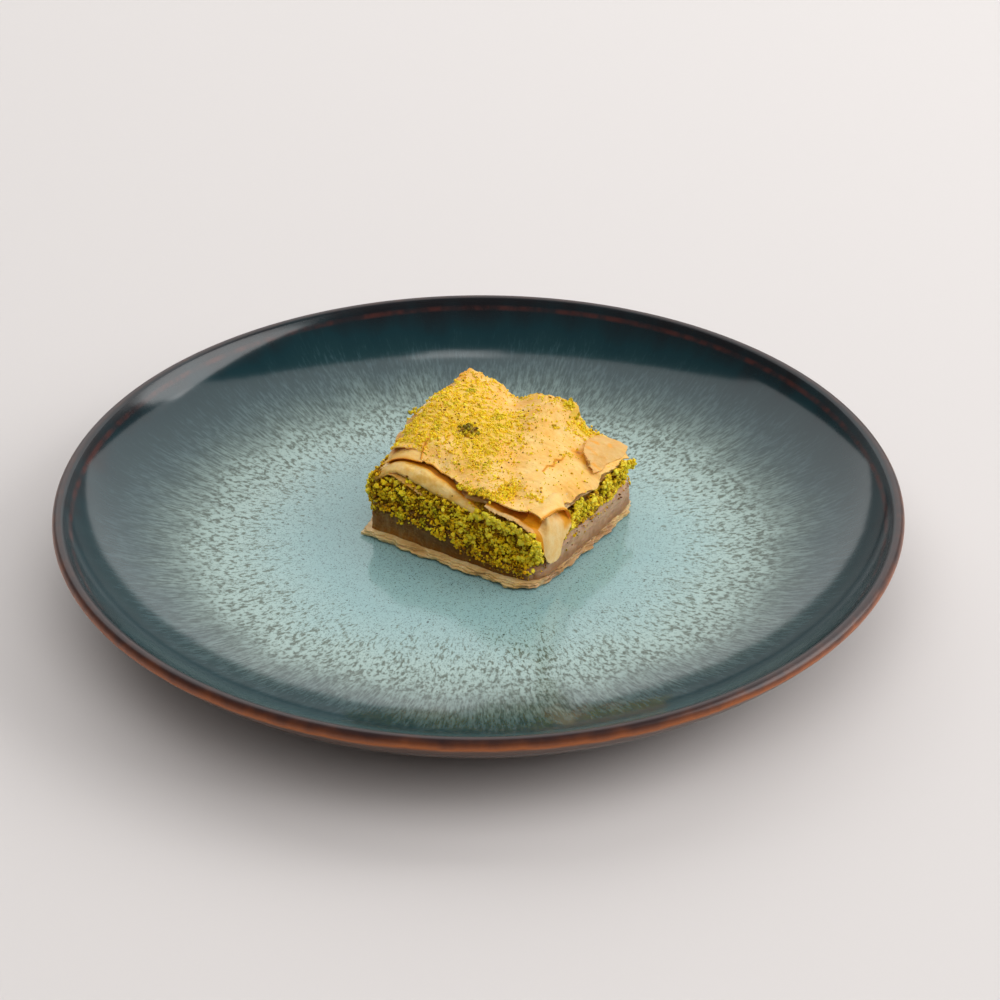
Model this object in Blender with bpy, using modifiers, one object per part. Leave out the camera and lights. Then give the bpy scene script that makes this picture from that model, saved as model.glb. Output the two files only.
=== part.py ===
# A square of pistachio baklava on the round stoneware plate that it is served on.
#
# Metres, +Z up. The origin is the middle of the plate's foot, on the table. The cake's cut sides lie
# along X and Y: its front side faces -Y and its right side faces +X.
#
# From the table up: the plate (a turned dish with a foot ring), the crisp base crust, the soaked
# layer, the band of ground pistachio with its larger grains, and the puffed top pastry with its
# lifted front edge, the sheet draped over the front corner, a loose flake and a dusting of grains.

import math
import random

import bpy
import bmesh
from mathutils import Vector, noise

MM = 0.001
CLEARANCE = 0.3 * MM

# Plate
PLATE_RADIUS = 105.0 * MM
PLATE_HEIGHT = 24.0 * MM
LIP_RADIUS = 1.7 * MM
LIP_SLOPE = math.radians(51.0)
WELL_RADIUS = 60.0 * MM
WELL_FLOOR = 7.5 * MM
WALL_BEND = (93.0 * MM, 10.0 * MM)
WALL_UNDERCUT = 22.0 * MM
FOOT_RADIUS = 64.0 * MM
FOOT_WIDTH = 4.5 * MM
FOOT_HEIGHT = 2.5 * MM
FOOT_BEVEL = 0.8 * MM
PLATE_SEGMENTS = 80
WALL_PARTS = 5
LIP_PARTS = 6
UNDERSIDE_PARTS = 4

# Cake: its plan, measured from the middle of its body
CAKE_X = 0.0
CAKE_Y = 12.4 * MM
BODY_HALF = 24.7 * MM
CRUST_HALF = 26.2 * MM
CRUST_SHIFT = (-0.9 * MM, -0.9 * MM)
# How much wider the cake grows on its left side, just behind the front corner
LEFT_SPREAD = 2.6 * MM
LEFT_SPREAD_RUN = 0.35
PISTACHIO_LEFT = 2.2 * MM
# How far each corner is cut back, by the signs of its X and Y
CORNER_CUT = {(1, -1): 2.4 * MM, (1, 1): 2.2 * MM, (-1, -1): 0.4 * MM, (-1, 1): 0.9 * MM}
CORNER_TIGHTNESS = 7
# How uneven the cut sides are, layer by layer
SIDE_WAVE = 5.0 * MM
CRUST_UNEVEN = 1.3 * MM
SOAKED_UNEVEN = 0.5 * MM
PISTACHIO_UNEVEN = 1.2 * MM
PASTRY_UNEVEN = 0.8 * MM
SHEET_UNEVEN = 1.6 * MM

# Cake: heights above the floor of the plate's well
CRUST_THICK = 1.9 * MM
CRUST_WAVE = 0.2 * MM
SOAKED_LEAN = 0.35 * MM
SOAKED_TOP = 8.1 * MM
SOAKED_WAVE = 0.25 * MM
PISTACHIO_TOP = 17.2 * MM
PISTACHIO_INSET = 0.6 * MM
PISTACHIO_SHOULDER = 2.4 * MM
PISTACHIO_HEEL = 0.5 * MM
PASTRY_INSET = 0.9 * MM
PASTRY_EDGE = 0.8 * MM
SHEET_THICK = 0.7 * MM
SHEET_INSET = 0.2 * MM
SHEET_RIGHT_INSET = 0.6 * MM
# The pastry's height at its corners, by the signs of their X and Y
TOP_CORNERS = {(-1, -1): 20.6 * MM, (1, -1): 20.2 * MM, (1, 1): 16.4 * MM, (-1, 1): 25.4 * MM}

# Soft rises and hollows: middle X, middle Y, spread in X, spread in Y, height
SOAKED_SWELLS = (
    (-11.0 * MM, -25.0 * MM, 9.0 * MM, 12.0 * MM, 2.6 * MM),
    (19.0 * MM, -25.0 * MM, 10.0 * MM, 8.0 * MM, -3.6 * MM),
)
PISTACHIO_SWELLS = (
    (-10.0 * MM, -18.0 * MM, 12.0 * MM, 8.0 * MM, 1.3 * MM),
    (24.0 * MM, -4.0 * MM, 6.0 * MM, 14.0 * MM, -2.8 * MM),
    (24.0 * MM, 22.0 * MM, 7.0 * MM, 8.0 * MM, -3.6 * MM),
    (-12.0 * MM, 10.0 * MM, 12.0 * MM, 12.0 * MM, 1.0 * MM),
    (17.0 * MM, -24.0 * MM, 8.0 * MM, 5.0 * MM, -1.4 * MM),
)
TOP_SWELLS = (
    (-1.0 * MM, 0.0 * MM, 13.0 * MM, 13.0 * MM, 2.4 * MM),
    (-24.0 * MM, 3.0 * MM, 9.0 * MM, 9.0 * MM, 3.0 * MM),
    (2.6 * MM, 25.0 * MM, 4.6 * MM, 12.0 * MM, 4.6 * MM),
    (-12.0 * MM, -16.0 * MM, 9.0 * MM, 6.0 * MM, 1.6 * MM),
    (-12.0 * MM, 27.0 * MM, 3.8 * MM, 8.0 * MM, -2.6 * MM),
    (13.5 * MM, 24.0 * MM, 3.0 * MM, 6.0 * MM, -1.0 * MM),
    (14.0 * MM, -12.0 * MM, 6.0 * MM, 8.0 * MM, 0.8 * MM),
)
# A soft crease that runs from the back edge to the front one
CREASE_START = (-11.0 * MM, 24.0 * MM)
CREASE_END = (15.0 * MM, -22.0 * MM)
CREASE_WIDTH = 2.4 * MM
CREASE_DEPTH = 0.8 * MM
WRINKLE = 0.45 * MM
WRINKLE_LENGTH = 7.0 * MM

# Lifted front edge of the top sheet: its set-back from the front side, left and right
SETBACK_LEFT = 8.0 * MM
SETBACK_RIGHT = 1.6 * MM
SETBACK_MIDDLE = -2.0 * MM
SETBACK_RUN = 10.0 * MM
INNER_SETBACK = 2.6 * MM
INNER_WAVE = 0.5 * MM
GAP_HEIGHT = 2.6 * MM
GAP_DEPTH = 6.0 * MM
RIM_DROP = 1.6 * MM
CURL_X = 25.5 * MM
CURL_Y = -18.8 * MM
CURL_SPREAD = 1.9 * MM
CURL_DROP = 4.0 * MM

# Sheet draped over the front corner, down the right side
DRAPE_START = -21.8 * MM
DRAPE_TAPER = 2.0 * MM
DRAPE_END = -10.0 * MM
DRAPE_LOW = 5.8 * MM
DRAPE_RISE = 4.0 * MM
DRAPE_ROOT = 5.0 * MM
DRAPE_ROOT_DEPTH = 1.2 * MM
DRAPE_EDGE_DEPTH = 2.4 * MM
DRAPE_SHOULDER = 0.4
DRAPE_WAVE = 0.2 * MM
DRAPE_PROUD = 1.0 * MM
DRAPE_THICK = 0.6 * MM

# Loose flake at the right corner
FLAKE_LEFT_EDGE = ((21.8 * MM, 5.8 * MM), (12.5 * MM, 17.0 * MM))
FLAKE_RIGHT_EDGE = ((24.0 * MM, 12.5 * MM), (22.0 * MM, 21.3 * MM))
FLAKE_LIFT = 1.2 * MM

# Grains of pistachio
GRAIN_SMALL = 0.8 * MM
GRAIN_LARGE = 1.25 * MM
GRAIN_ROWS = 3
GRAINS_PER_ROW = 8
TOP_GRAINS = 34
TOP_GRAIN_SMALL = 0.55 * MM
TOP_GRAIN_LARGE = 0.9 * MM
TOP_GRAIN_SPACING = 2.4 * MM
TOP_GRAIN_TRIES = 4000
DUSTED_HALF_EDGE = 6.0 * MM
DUSTING_FADE = 9.0 * MM
NUT_LUMP = (-9.8 * MM, -1.9 * MM)
NUT_LUMP_RADIUS = 1.3 * MM

# How finely the blocks and sheets are divided
CELLS = 12
SHEET_CELLS = 16
MERGE_DISTANCE = 0.002 * MM


def material(name, colour, roughness):
    """A Principled material of one colour."""
    made = bpy.data.materials.new(name)
    made.use_nodes = True
    shader = made.node_tree.nodes["Principled BSDF"]
    shader.inputs["Base Color"].default_value = (*colour, 1.0)
    shader.inputs["Roughness"].default_value = roughness
    shader.inputs["Metallic"].default_value = 0.0
    return made


def object_from(bm, name, collection, finish):
    """Turns a bmesh into a named object in a collection, with its material."""
    bmesh.ops.recalc_face_normals(bm, faces=bm.faces)
    mesh = bpy.data.meshes.new(name)
    bm.to_mesh(mesh)
    bm.free()
    if finish:
        mesh.materials.append(finish)
    made = bpy.data.objects.new(name, mesh)
    collection.objects.link(made)
    return made


def swell(x, y, swells):
    """Sum of the soft rises and hollows at a point of the plan."""
    total = 0.0
    for middle_x, middle_y, spread_x, spread_y, height in swells:
        across = (x - middle_x) / spread_x
        along = (y - middle_y) / spread_y
        total += height * math.exp(-0.5 * (across * across + along * along))
    return total


def wave(x, y, length, seed):
    """Smooth unevenness between -1 and 1 with bumps of the given length."""
    return noise.noise(Vector((x / length, y / length, seed)))


def soaked_roof(x, y):
    """Height of the soaked layer's top, where the pistachio begins."""
    return SOAKED_TOP + swell(x, y, SOAKED_SWELLS) + SOAKED_WAVE * wave(x, y, SIDE_WAVE, 2.0)


def pistachio_roof(x, y):
    """Height of the pistachio's top, where the pastry begins."""
    return PISTACHIO_TOP + swell(x, y, PISTACHIO_SWELLS)


def top_height(x, y):
    """Height of the pastry's upper face: its corners, its swells and its wrinkles."""
    along = min(max((x / BODY_HALF + 1.0) / 2.0, 0.0), 1.0)
    across = min(max((y / BODY_HALF + 1.0) / 2.0, 0.0), 1.0)
    front = TOP_CORNERS[(-1, -1)] * (1.0 - along) + TOP_CORNERS[(1, -1)] * along
    back = TOP_CORNERS[(-1, 1)] * (1.0 - along) + TOP_CORNERS[(1, 1)] * along
    height = front * (1.0 - across) + back * across + swell(x, y, TOP_SWELLS)
    height += WRINKLE * wave(x, y, WRINKLE_LENGTH, 5.0)
    run = Vector(CREASE_END) - Vector(CREASE_START)
    side = run.normalized().cross(Vector((x, y)) - Vector(CREASE_START)) / CREASE_WIDTH
    height -= CREASE_DEPTH * math.exp(-0.5 * side * side)
    curl = math.hypot(x - CURL_X, y - CURL_Y) / CURL_SPREAD
    return height - CURL_DROP * math.exp(-0.5 * curl * curl)


def plan_point(a, b, half, inset=0.0, seed=0.0, uneven=0.0):
    """Maps a square of side 2 to the cake's cut outline, with its unlike corners and wavy sides."""
    cut = CORNER_CUT[(1 if a > 0 else -1, 1 if b > 0 else -1)]
    pull = cut * abs(a * b) ** CORNER_TIGHTNESS
    reach = half - inset - pull
    x = a * reach
    y = b * reach
    if a < 0.0:
        x += a * LEFT_SPREAD * math.tanh((b + 1.0) / 2.0 / LEFT_SPREAD_RUN)
    ripple = uneven * wave(x, y, SIDE_WAVE, seed) * max(abs(a), abs(b)) ** 4
    return x * (1.0 + ripple / half), y * (1.0 + ripple / half)


def slab(name, cells, rings, place, collection, finish):
    """A closed block from a cube: cells by cells over its plan, rings up its sides, each corner
    moved to place(a, b, rise), with a and b from -1 to 1 and rise from 0 to 1."""
    bm = bmesh.new()
    bmesh.ops.create_cube(bm, size=2.0)
    for axis, parts in ((0, cells), (1, cells), (2, rings)):
        along = [e for e in bm.edges if abs(e.verts[0].co[axis] - e.verts[1].co[axis]) > 0.01]
        if parts > 1:
            bmesh.ops.subdivide_edges(bm, edges=along, cuts=parts - 1, use_grid_fill=True)
    for vert in bm.verts:
        a, b, c = vert.co
        vert.co = place(a, b, (c + 1.0) / 2.0)
    return object_from(bm, name, collection, finish)


def cake_vector(x, y, height):
    """A point of the cake in the plate's frame, from its plan and its height above the well."""
    return Vector((CAKE_X + x, CAKE_Y + y, WELL_FLOOR + height))


def bezier(start, bend, end, parts):
    """Points of a curve with one bend, without its first."""
    points = []
    for step in range(1, parts + 1):
        t = step / parts
        s = 1.0 - t
        points.append(tuple(s * s * p + 2.0 * s * t * q + t * t * r for p, q, r in zip(start, bend, end)))
    return points


def plate_profile():
    """Half section of the plate, from the middle of its well, over the lip, to the middle below."""
    lip_x = PLATE_RADIUS - LIP_RADIUS
    lip_z = PLATE_HEIGHT - LIP_RADIUS
    inner_turn = LIP_SLOPE + math.pi / 2.0
    lip_start = (lip_x + LIP_RADIUS * math.cos(inner_turn), lip_z + LIP_RADIUS * math.sin(inner_turn))
    points = [(0.0, WELL_FLOOR), (WELL_RADIUS, WELL_FLOOR)]
    points += bezier(points[-1], WALL_BEND, lip_start, WALL_PARTS)
    for step in range(1, LIP_PARTS + 1):
        angle = inner_turn - math.pi * step / LIP_PARTS
        points.append((lip_x + LIP_RADIUS * math.cos(angle), lip_z + LIP_RADIUS * math.sin(angle)))
    lip_end = points[-1]
    under_bend = (lip_end[0] - WALL_UNDERCUT * math.cos(LIP_SLOPE),
                  lip_end[1] - WALL_UNDERCUT * math.sin(LIP_SLOPE))
    points += bezier(lip_end, under_bend, (FOOT_RADIUS, FOOT_HEIGHT), UNDERSIDE_PARTS)
    points.append((FOOT_RADIUS - FOOT_BEVEL, 0.0))
    points.append((FOOT_RADIUS - FOOT_WIDTH, 0.0))
    points.append((FOOT_RADIUS - FOOT_WIDTH - FOOT_BEVEL, FOOT_HEIGHT))
    points.append((0.0, FOOT_HEIGHT))
    return points


def plate(collection):
    """The turned dish: its half section swept round with Screw."""
    points = [(x, 0.0, z) for x, z in plate_profile()]
    mesh = bpy.data.meshes.new("plate")
    mesh.from_pydata(points, [(i, i + 1) for i in range(len(points) - 1)], [])
    mesh.materials.append(material("reactive_glaze", (0.24, 0.38, 0.38), 0.2))
    made = bpy.data.objects.new("plate", mesh)
    collection.objects.link(made)
    screw = made.modifiers.new("turn", 'SCREW')
    screw.steps = PLATE_SEGMENTS
    screw.render_steps = PLATE_SEGMENTS
    screw.use_merge_vertices = True
    screw.merge_threshold = MERGE_DISTANCE
    screw.use_smooth_shade = True
    screw.use_normal_calculate = True
    return made


def base_crust(collection, finish):
    """The crisp bottom sheets: a thin slab that sticks out past the front and left sides."""
    def place(a, b, rise):
        x, y = plan_point(a, b, CRUST_HALF, 0.0, 11.0, CRUST_UNEVEN)
        x += CRUST_SHIFT[0]
        y += CRUST_SHIFT[1]
        height = CLEARANCE + rise * (CRUST_THICK + CRUST_WAVE * wave(x, y, SIDE_WAVE, 7.0))
        return cake_vector(x, y, height)
    return slab("base_crust", CELLS, 1, place, collection, finish)


def soaked_layer(collection, finish):
    """The syrup-soaked sheets: a block with nearly flat cut sides."""
    def place(a, b, rise):
        x, y = plan_point(a, b, BODY_HALF, SOAKED_LEAN * rise, 23.0, SOAKED_UNEVEN)
        low = 2.0 * CLEARANCE + CRUST_THICK + CRUST_WAVE
        high = soaked_roof(x, y)
        return cake_vector(x, y, low + rise * (high - low))
    return slab("soaked_layer", CELLS, 3, place, collection, finish)


def pistachio_point(a, b, rise):
    """A point of the pistachio band's core, whose sides bulge and round over at the top."""
    shoulder = PISTACHIO_SHOULDER * rise ** 5 + PISTACHIO_HEEL * (1.0 - rise) ** 3
    x, y = plan_point(a, b, BODY_HALF, PISTACHIO_INSET + shoulder, 31.0, PISTACHIO_UNEVEN)
    x += PISTACHIO_LEFT * min(a, 0.0)
    low = soaked_roof(x, y) + CLEARANCE
    high = pistachio_roof(x, y)
    return cake_vector(x, y, low + rise * (high - low))


def grain(bm, centre, radius, draw):
    """One broken grain: a lump of twenty faces, stretched and turned at random."""
    lump = bmesh.ops.create_icosphere(bm, subdivisions=1, radius=radius)["verts"]
    stretch = (draw.uniform(0.8, 1.25), draw.uniform(0.8, 1.25), draw.uniform(0.75, 1.1))
    turn = Vector((draw.uniform(-1, 1), draw.uniform(-1, 1), draw.uniform(-1, 1))).normalized()
    spin = turn.to_track_quat('Z', 'Y').to_matrix()
    for vert in lump:
        size = draw.uniform(0.86, 1.1)
        vert.co = spin @ Vector(c * s * size for c, s in zip(vert.co, stretch)) + centre


def side_grains(draw):
    """Middles and radii of the grains along the band's four sides, row by row, spread evenly."""
    found = []
    for side in range(4):
        for row in range(GRAIN_ROWS):
            for column in range(GRAINS_PER_ROW):
                place = -0.94 + 1.88 * (column + draw.uniform(0.2, 0.8)) / GRAINS_PER_ROW
                rise = 0.18 + 0.62 * (row + draw.uniform(0.15, 0.85)) / GRAIN_ROWS
                radius = draw.uniform(GRAIN_SMALL, GRAIN_LARGE)
                a, b = ((place, -1.0), (1.0, place), (place, 1.0), (-1.0, place))[side]
                centre = pistachio_point(a, b, rise)
                x = centre.x - CAKE_X
                y = centre.y - CAKE_Y
                if side == 1 and y < DRAPE_END + 2.0 * GRAIN_LARGE:
                    continue
                low = WELL_FLOOR + soaked_roof(x, y) + CLEARANCE + 1.3 * radius
                centre.z = max(centre.z, low)
                found.append((centre, radius))
    return found


def join(target, extras):
    """Unites the objects of a collection with the target and removes them."""
    union = target.modifiers.new("join", 'BOOLEAN')
    union.operation = 'UNION'
    union.operand_type = 'COLLECTION'
    union.collection = extras
    union.solver = 'EXACT'
    depsgraph = bpy.context.evaluated_depsgraph_get()
    joined = bpy.data.meshes.new_from_object(target.evaluated_get(depsgraph))
    target.modifiers.remove(union)
    target.data = joined
    for extra in list(extras.objects):
        bpy.data.objects.remove(extra)
    bpy.data.collections.remove(extras)


def largest_body(target):
    """Keeps the joined body and drops any scrap that touches nothing."""
    bm = bmesh.new()
    bm.from_mesh(target.data)
    bmesh.ops.triangulate(bm, faces=bm.faces)
    bmesh.ops.remove_doubles(bm, verts=bm.verts, dist=MERGE_DISTANCE)
    bmesh.ops.dissolve_degenerate(bm, edges=bm.edges, dist=MERGE_DISTANCE)
    bmesh.ops.triangulate(bm, faces=bm.faces)
    left = set(bm.verts)
    bodies = []
    while left:
        stack = [left.pop()]
        body = set(stack)
        while stack:
            for edge in stack.pop().link_edges:
                for vert in edge.verts:
                    if vert in left:
                        left.remove(vert)
                        body.add(vert)
                        stack.append(vert)
        bodies.append(body)
    bodies.sort(key=len)
    for scrap in bodies[:-1]:
        bmesh.ops.delete(bm, geom=list(scrap), context='VERTS')
    bm.to_mesh(target.data)
    bm.free()


def extras_collection(name):
    """A collection for pieces that are about to be joined."""
    made = bpy.data.collections.new(name)
    bpy.context.scene.collection.children.link(made)
    return made


def pistachio_layer(collection, finish):
    """The band of ground pistachio: a bulging core with its larger grains joined on."""
    core = slab("pistachio_layer", CELLS, 4, pistachio_point, collection, finish)
    extras = extras_collection("pistachio_grains")
    draw = random.Random(41)
    for number, (centre, radius) in enumerate(side_grains(draw)):
        bm = bmesh.new()
        grain(bm, centre, radius, draw)
        object_from(bm, "grain_%03d" % number, extras, finish)
    join(core, extras)
    largest_body(core)
    return core


def sheet_front(x):
    """Where the top sheet's front edge lies: far back on the left, near the side on the right."""
    step = (1.0 + math.tanh((x - SETBACK_MIDDLE) / SETBACK_RUN)) / 2.0
    return -BODY_HALF + SETBACK_LEFT + (SETBACK_RIGHT - SETBACK_LEFT) * step


def inner_front(x):
    """Where the sheet below it ends, nearer to the front side."""
    return -BODY_HALF + INNER_SETBACK + INNER_WAVE * wave(x, 0.0, SIDE_WAVE, 9.0)


def core_roof(x, y):
    """Upper face of the pastry's core: inside the top sheet, and below the gap at the front."""
    covered = top_height(x, y) - 0.5 * SHEET_THICK
    past_edge = y - sheet_front(x)
    if past_edge >= GAP_DEPTH:
        return covered
    drop = GAP_HEIGHT * (1.0 - past_edge / GAP_DEPTH)
    return max(covered - drop, pistachio_roof(x, y) + CLEARANCE + PASTRY_EDGE)


def pastry_core(collection, finish):
    """The puffed sheets below the top one: a block over the pistachio, sloping up from the front."""
    def place(a, b, rise):
        x, y = plan_point(a, b, BODY_HALF, PASTRY_INSET * (1.0 + 0.5 * rise), 43.0, PASTRY_UNEVEN)
        front = inner_front(x)
        reach = (y + BODY_HALF) / (2.0 * BODY_HALF)
        y = front + reach * (BODY_HALF - PASTRY_INSET - front)
        low = pistachio_roof(x, y) + CLEARANCE
        return cake_vector(x, y, low + rise * (core_roof(x, y) - low))
    return slab("top_pastry", CELLS, 2, place, collection, finish)


def thick_sheet(name, across, along, place, thickness, collection, finish):
    """A thin sheet: a grid moved to place(a, b), made solid on its under side."""
    bm = bmesh.new()
    bmesh.ops.create_grid(bm, x_segments=across, y_segments=along, size=1.0)
    for vert in bm.verts:
        vert.co = place(vert.co.x, vert.co.y)
    mesh = bpy.data.meshes.new(name)
    bm.to_mesh(mesh)
    bm.free()
    if finish:
        mesh.materials.append(finish)
    made = bpy.data.objects.new(name, mesh)
    collection.objects.link(made)
    solid = made.modifiers.new("thickness", 'SOLIDIFY')
    solid.thickness = thickness
    solid.offset = -1.0
    depsgraph = bpy.context.evaluated_depsgraph_get()
    made.data = bpy.data.meshes.new_from_object(made.evaluated_get(depsgraph))
    made.modifiers.clear()
    return made


def top_sheet_point(a, b):
    """A point of the top sheet, whose rim bends down a little at the left, back and right."""
    inset = SHEET_INSET + SHEET_RIGHT_INSET * max(a, 0.0)
    x, y = plan_point(a, b, BODY_HALF, inset, 53.0, SHEET_UNEVEN)
    front = sheet_front(x)
    reach = (y + BODY_HALF) / (2.0 * BODY_HALF)
    y = front + reach * (BODY_HALF - SHEET_INSET - front)
    rim = max(abs(a), b, 0.0)
    return cake_vector(x, y, top_height(x, y) - RIM_DROP * rim ** 12)


def drape_point(a, b):
    """A point of the sheet that leaves the pastry, turns over the front corner and hangs down."""
    part = (a + 1.0) / 2.0
    fall = (b + 1.0) / 2.0
    start = DRAPE_START + DRAPE_TAPER * fall
    side = (start + part * (DRAPE_END - start)) / BODY_HALF
    outer_x, y = plan_point(1.0, side, BODY_HALF + DRAPE_PROUD)
    low = DRAPE_LOW + DRAPE_RISE * part ** 4
    root_height = top_height(outer_x - DRAPE_ROOT, y) - DRAPE_ROOT_DEPTH
    edge_height = top_height(outer_x, y) - DRAPE_EDGE_DEPTH
    if fall < DRAPE_SHOULDER:
        turn = fall / DRAPE_SHOULDER * math.pi / 2.0
        x = outer_x - DRAPE_ROOT * (1.0 - math.sin(turn))
        height = root_height + (edge_height - root_height) * (1.0 - math.cos(turn))
    else:
        x = outer_x
        hang = (fall - DRAPE_SHOULDER) / (1.0 - DRAPE_SHOULDER)
        height = edge_height + (low - edge_height) * hang
    return cake_vector(x + DRAPE_WAVE * wave(y, height, SIDE_WAVE, 4.0), y, height)


def flake_point(a, b):
    """A point of the loose flake, which lies on the sheet and lifts towards its left edge."""
    across = (a + 1.0) / 2.0
    along = (b + 1.0) / 2.0
    left = Vector(FLAKE_LEFT_EDGE[0]).lerp(Vector(FLAKE_LEFT_EDGE[1]), along)
    right = Vector(FLAKE_RIGHT_EDGE[0]).lerp(Vector(FLAKE_RIGHT_EDGE[1]), along)
    x, y = left.lerp(right, across)
    lift = FLAKE_LIFT * (1.0 - across) ** 1.5
    return cake_vector(x, y, top_height(x, y) + SHEET_THICK / 2.0 + lift)


def top_grains(draw):
    """Middles and radii of the grains on the top, most of them on its left half and back edge."""
    found = [(NUT_LUMP[0], NUT_LUMP[1], NUT_LUMP_RADIUS)]
    tries = 0
    while len(found) < TOP_GRAINS and tries < TOP_GRAIN_TRIES:
        tries += 1
        x = draw.uniform(-0.9, 0.9) * BODY_HALF
        y = draw.uniform(-0.9, 0.9) * BODY_HALF
        radius = draw.uniform(TOP_GRAIN_SMALL, TOP_GRAIN_LARGE)
        left_half = math.exp(-max(x + DUSTED_HALF_EDGE, 0.0) / DUSTING_FADE)
        back_edge = math.exp(-(BODY_HALF - y) / DUSTING_FADE * 2.0)
        if draw.random() > max(left_half, 0.8 * back_edge, 0.08):
            continue
        if y < sheet_front(x) + 1.5 * MM:
            continue
        if all(math.hypot(x - u, y - v) > TOP_GRAIN_SPACING for u, v, _ in found):
            found.append((x, y, radius))
    return found


def top_pastry(collection, finish):
    """The puffed pastry: its core, top sheet, drape, flake and grains in one body."""
    core = pastry_core(collection, finish)
    extras = extras_collection("pastry_sheets")
    thick_sheet("top_sheet", SHEET_CELLS, SHEET_CELLS, top_sheet_point, SHEET_THICK, extras, finish)
    thick_sheet("drape", 6, 8, drape_point, DRAPE_THICK, extras, finish)
    thick_sheet("flake", 5, 5, flake_point, SHEET_THICK, extras, finish)
    draw = random.Random(17)
    for number, (x, y, radius) in enumerate(top_grains(draw)):
        bm = bmesh.new()
        grain(bm, cake_vector(x, y, top_height(x, y) + 0.35 * radius), radius, draw)
        object_from(bm, "crumb_%03d" % number, extras, finish)
    join(core, extras)
    largest_body(core)
    return core


def build():
    for old in list(bpy.data.objects):
        bpy.data.objects.remove(old)
    model = bpy.data.collections.new("baklava")
    bpy.context.scene.collection.children.link(model)
    plate(model)
    base_crust(model, material("crust", (0.72, 0.46, 0.22), 0.5))
    soaked_layer(model, material("soaked_sheets", (0.28, 0.17, 0.08), 0.35))
    pistachio_layer(model, material("ground_pistachio", (0.34, 0.32, 0.04), 0.75))
    top_pastry(model, material("baked_pastry", (0.85, 0.56, 0.22), 0.5))


build()
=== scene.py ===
# %% [markdown]
# A square of pistachio baklava on its glazed plate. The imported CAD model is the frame: it gives every
# piece its place and its limits. This script dresses that frame for the camera, one piece at a time.
# Lengths are written in millimetres and multiplied by MM, because Blender works in metres.

# %% Load the frame
import math
import random

import bpy
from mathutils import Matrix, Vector, noise


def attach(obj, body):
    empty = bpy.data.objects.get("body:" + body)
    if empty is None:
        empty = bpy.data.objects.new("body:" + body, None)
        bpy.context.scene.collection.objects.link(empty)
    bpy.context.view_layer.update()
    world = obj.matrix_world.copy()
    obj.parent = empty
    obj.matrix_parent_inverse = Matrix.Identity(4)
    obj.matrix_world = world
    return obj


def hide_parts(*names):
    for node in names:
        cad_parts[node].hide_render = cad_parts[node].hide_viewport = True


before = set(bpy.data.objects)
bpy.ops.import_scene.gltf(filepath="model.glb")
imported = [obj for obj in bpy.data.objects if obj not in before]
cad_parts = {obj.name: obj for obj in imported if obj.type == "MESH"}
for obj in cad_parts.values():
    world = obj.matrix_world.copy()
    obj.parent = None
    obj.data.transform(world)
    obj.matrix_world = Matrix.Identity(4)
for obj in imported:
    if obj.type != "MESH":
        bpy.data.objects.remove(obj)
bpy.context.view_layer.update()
MM = 0.001
print("nodes:", sorted(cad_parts))

# %% [markdown]
# The photograph was taken from above one corner of the cake, with a long lens. The camera's place was
# found from the ellipse of the plate's rim and from the cake's corners, so the render has the same
# frame. The colours are shown without a film curve, because bright yellow turns dull under one.

# %% Camera
CAMERA_PLACE = (0.2878, -0.4335, 0.3419)
CAMERA_DOWN, CAMERA_ROUND = math.radians(31.77), math.radians(33.0)
LENS, SENSOR_WIDTH = 88.3, 36.0
RIGHT = Vector((math.cos(CAMERA_ROUND), math.sin(CAMERA_ROUND), 0.0))
AWAY = Vector((-math.sin(CAMERA_ROUND), math.cos(CAMERA_ROUND), 0.0))
bpy.ops.object.camera_add(location=CAMERA_PLACE, rotation=(math.pi / 2.0 - CAMERA_DOWN, 0.0, CAMERA_ROUND))
camera = bpy.context.active_object
camera.name = "photo_camera"
camera.data.lens = LENS
camera.data.sensor_width = SENSOR_WIDTH
camera.data.clip_start = 0.01
bpy.context.scene.camera = camera
bpy.context.scene.view_settings.view_transform = 'Standard'
print("camera at", CAMERA_PLACE, "and its right is", [round(c, 3) for c in RIGHT])

# %% [markdown]
# Materials are made of nodes. These helpers add a node and join it in one call, so that each finish
# below reads as a short recipe. A socket is given either a number, a colour or another node's output.

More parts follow.
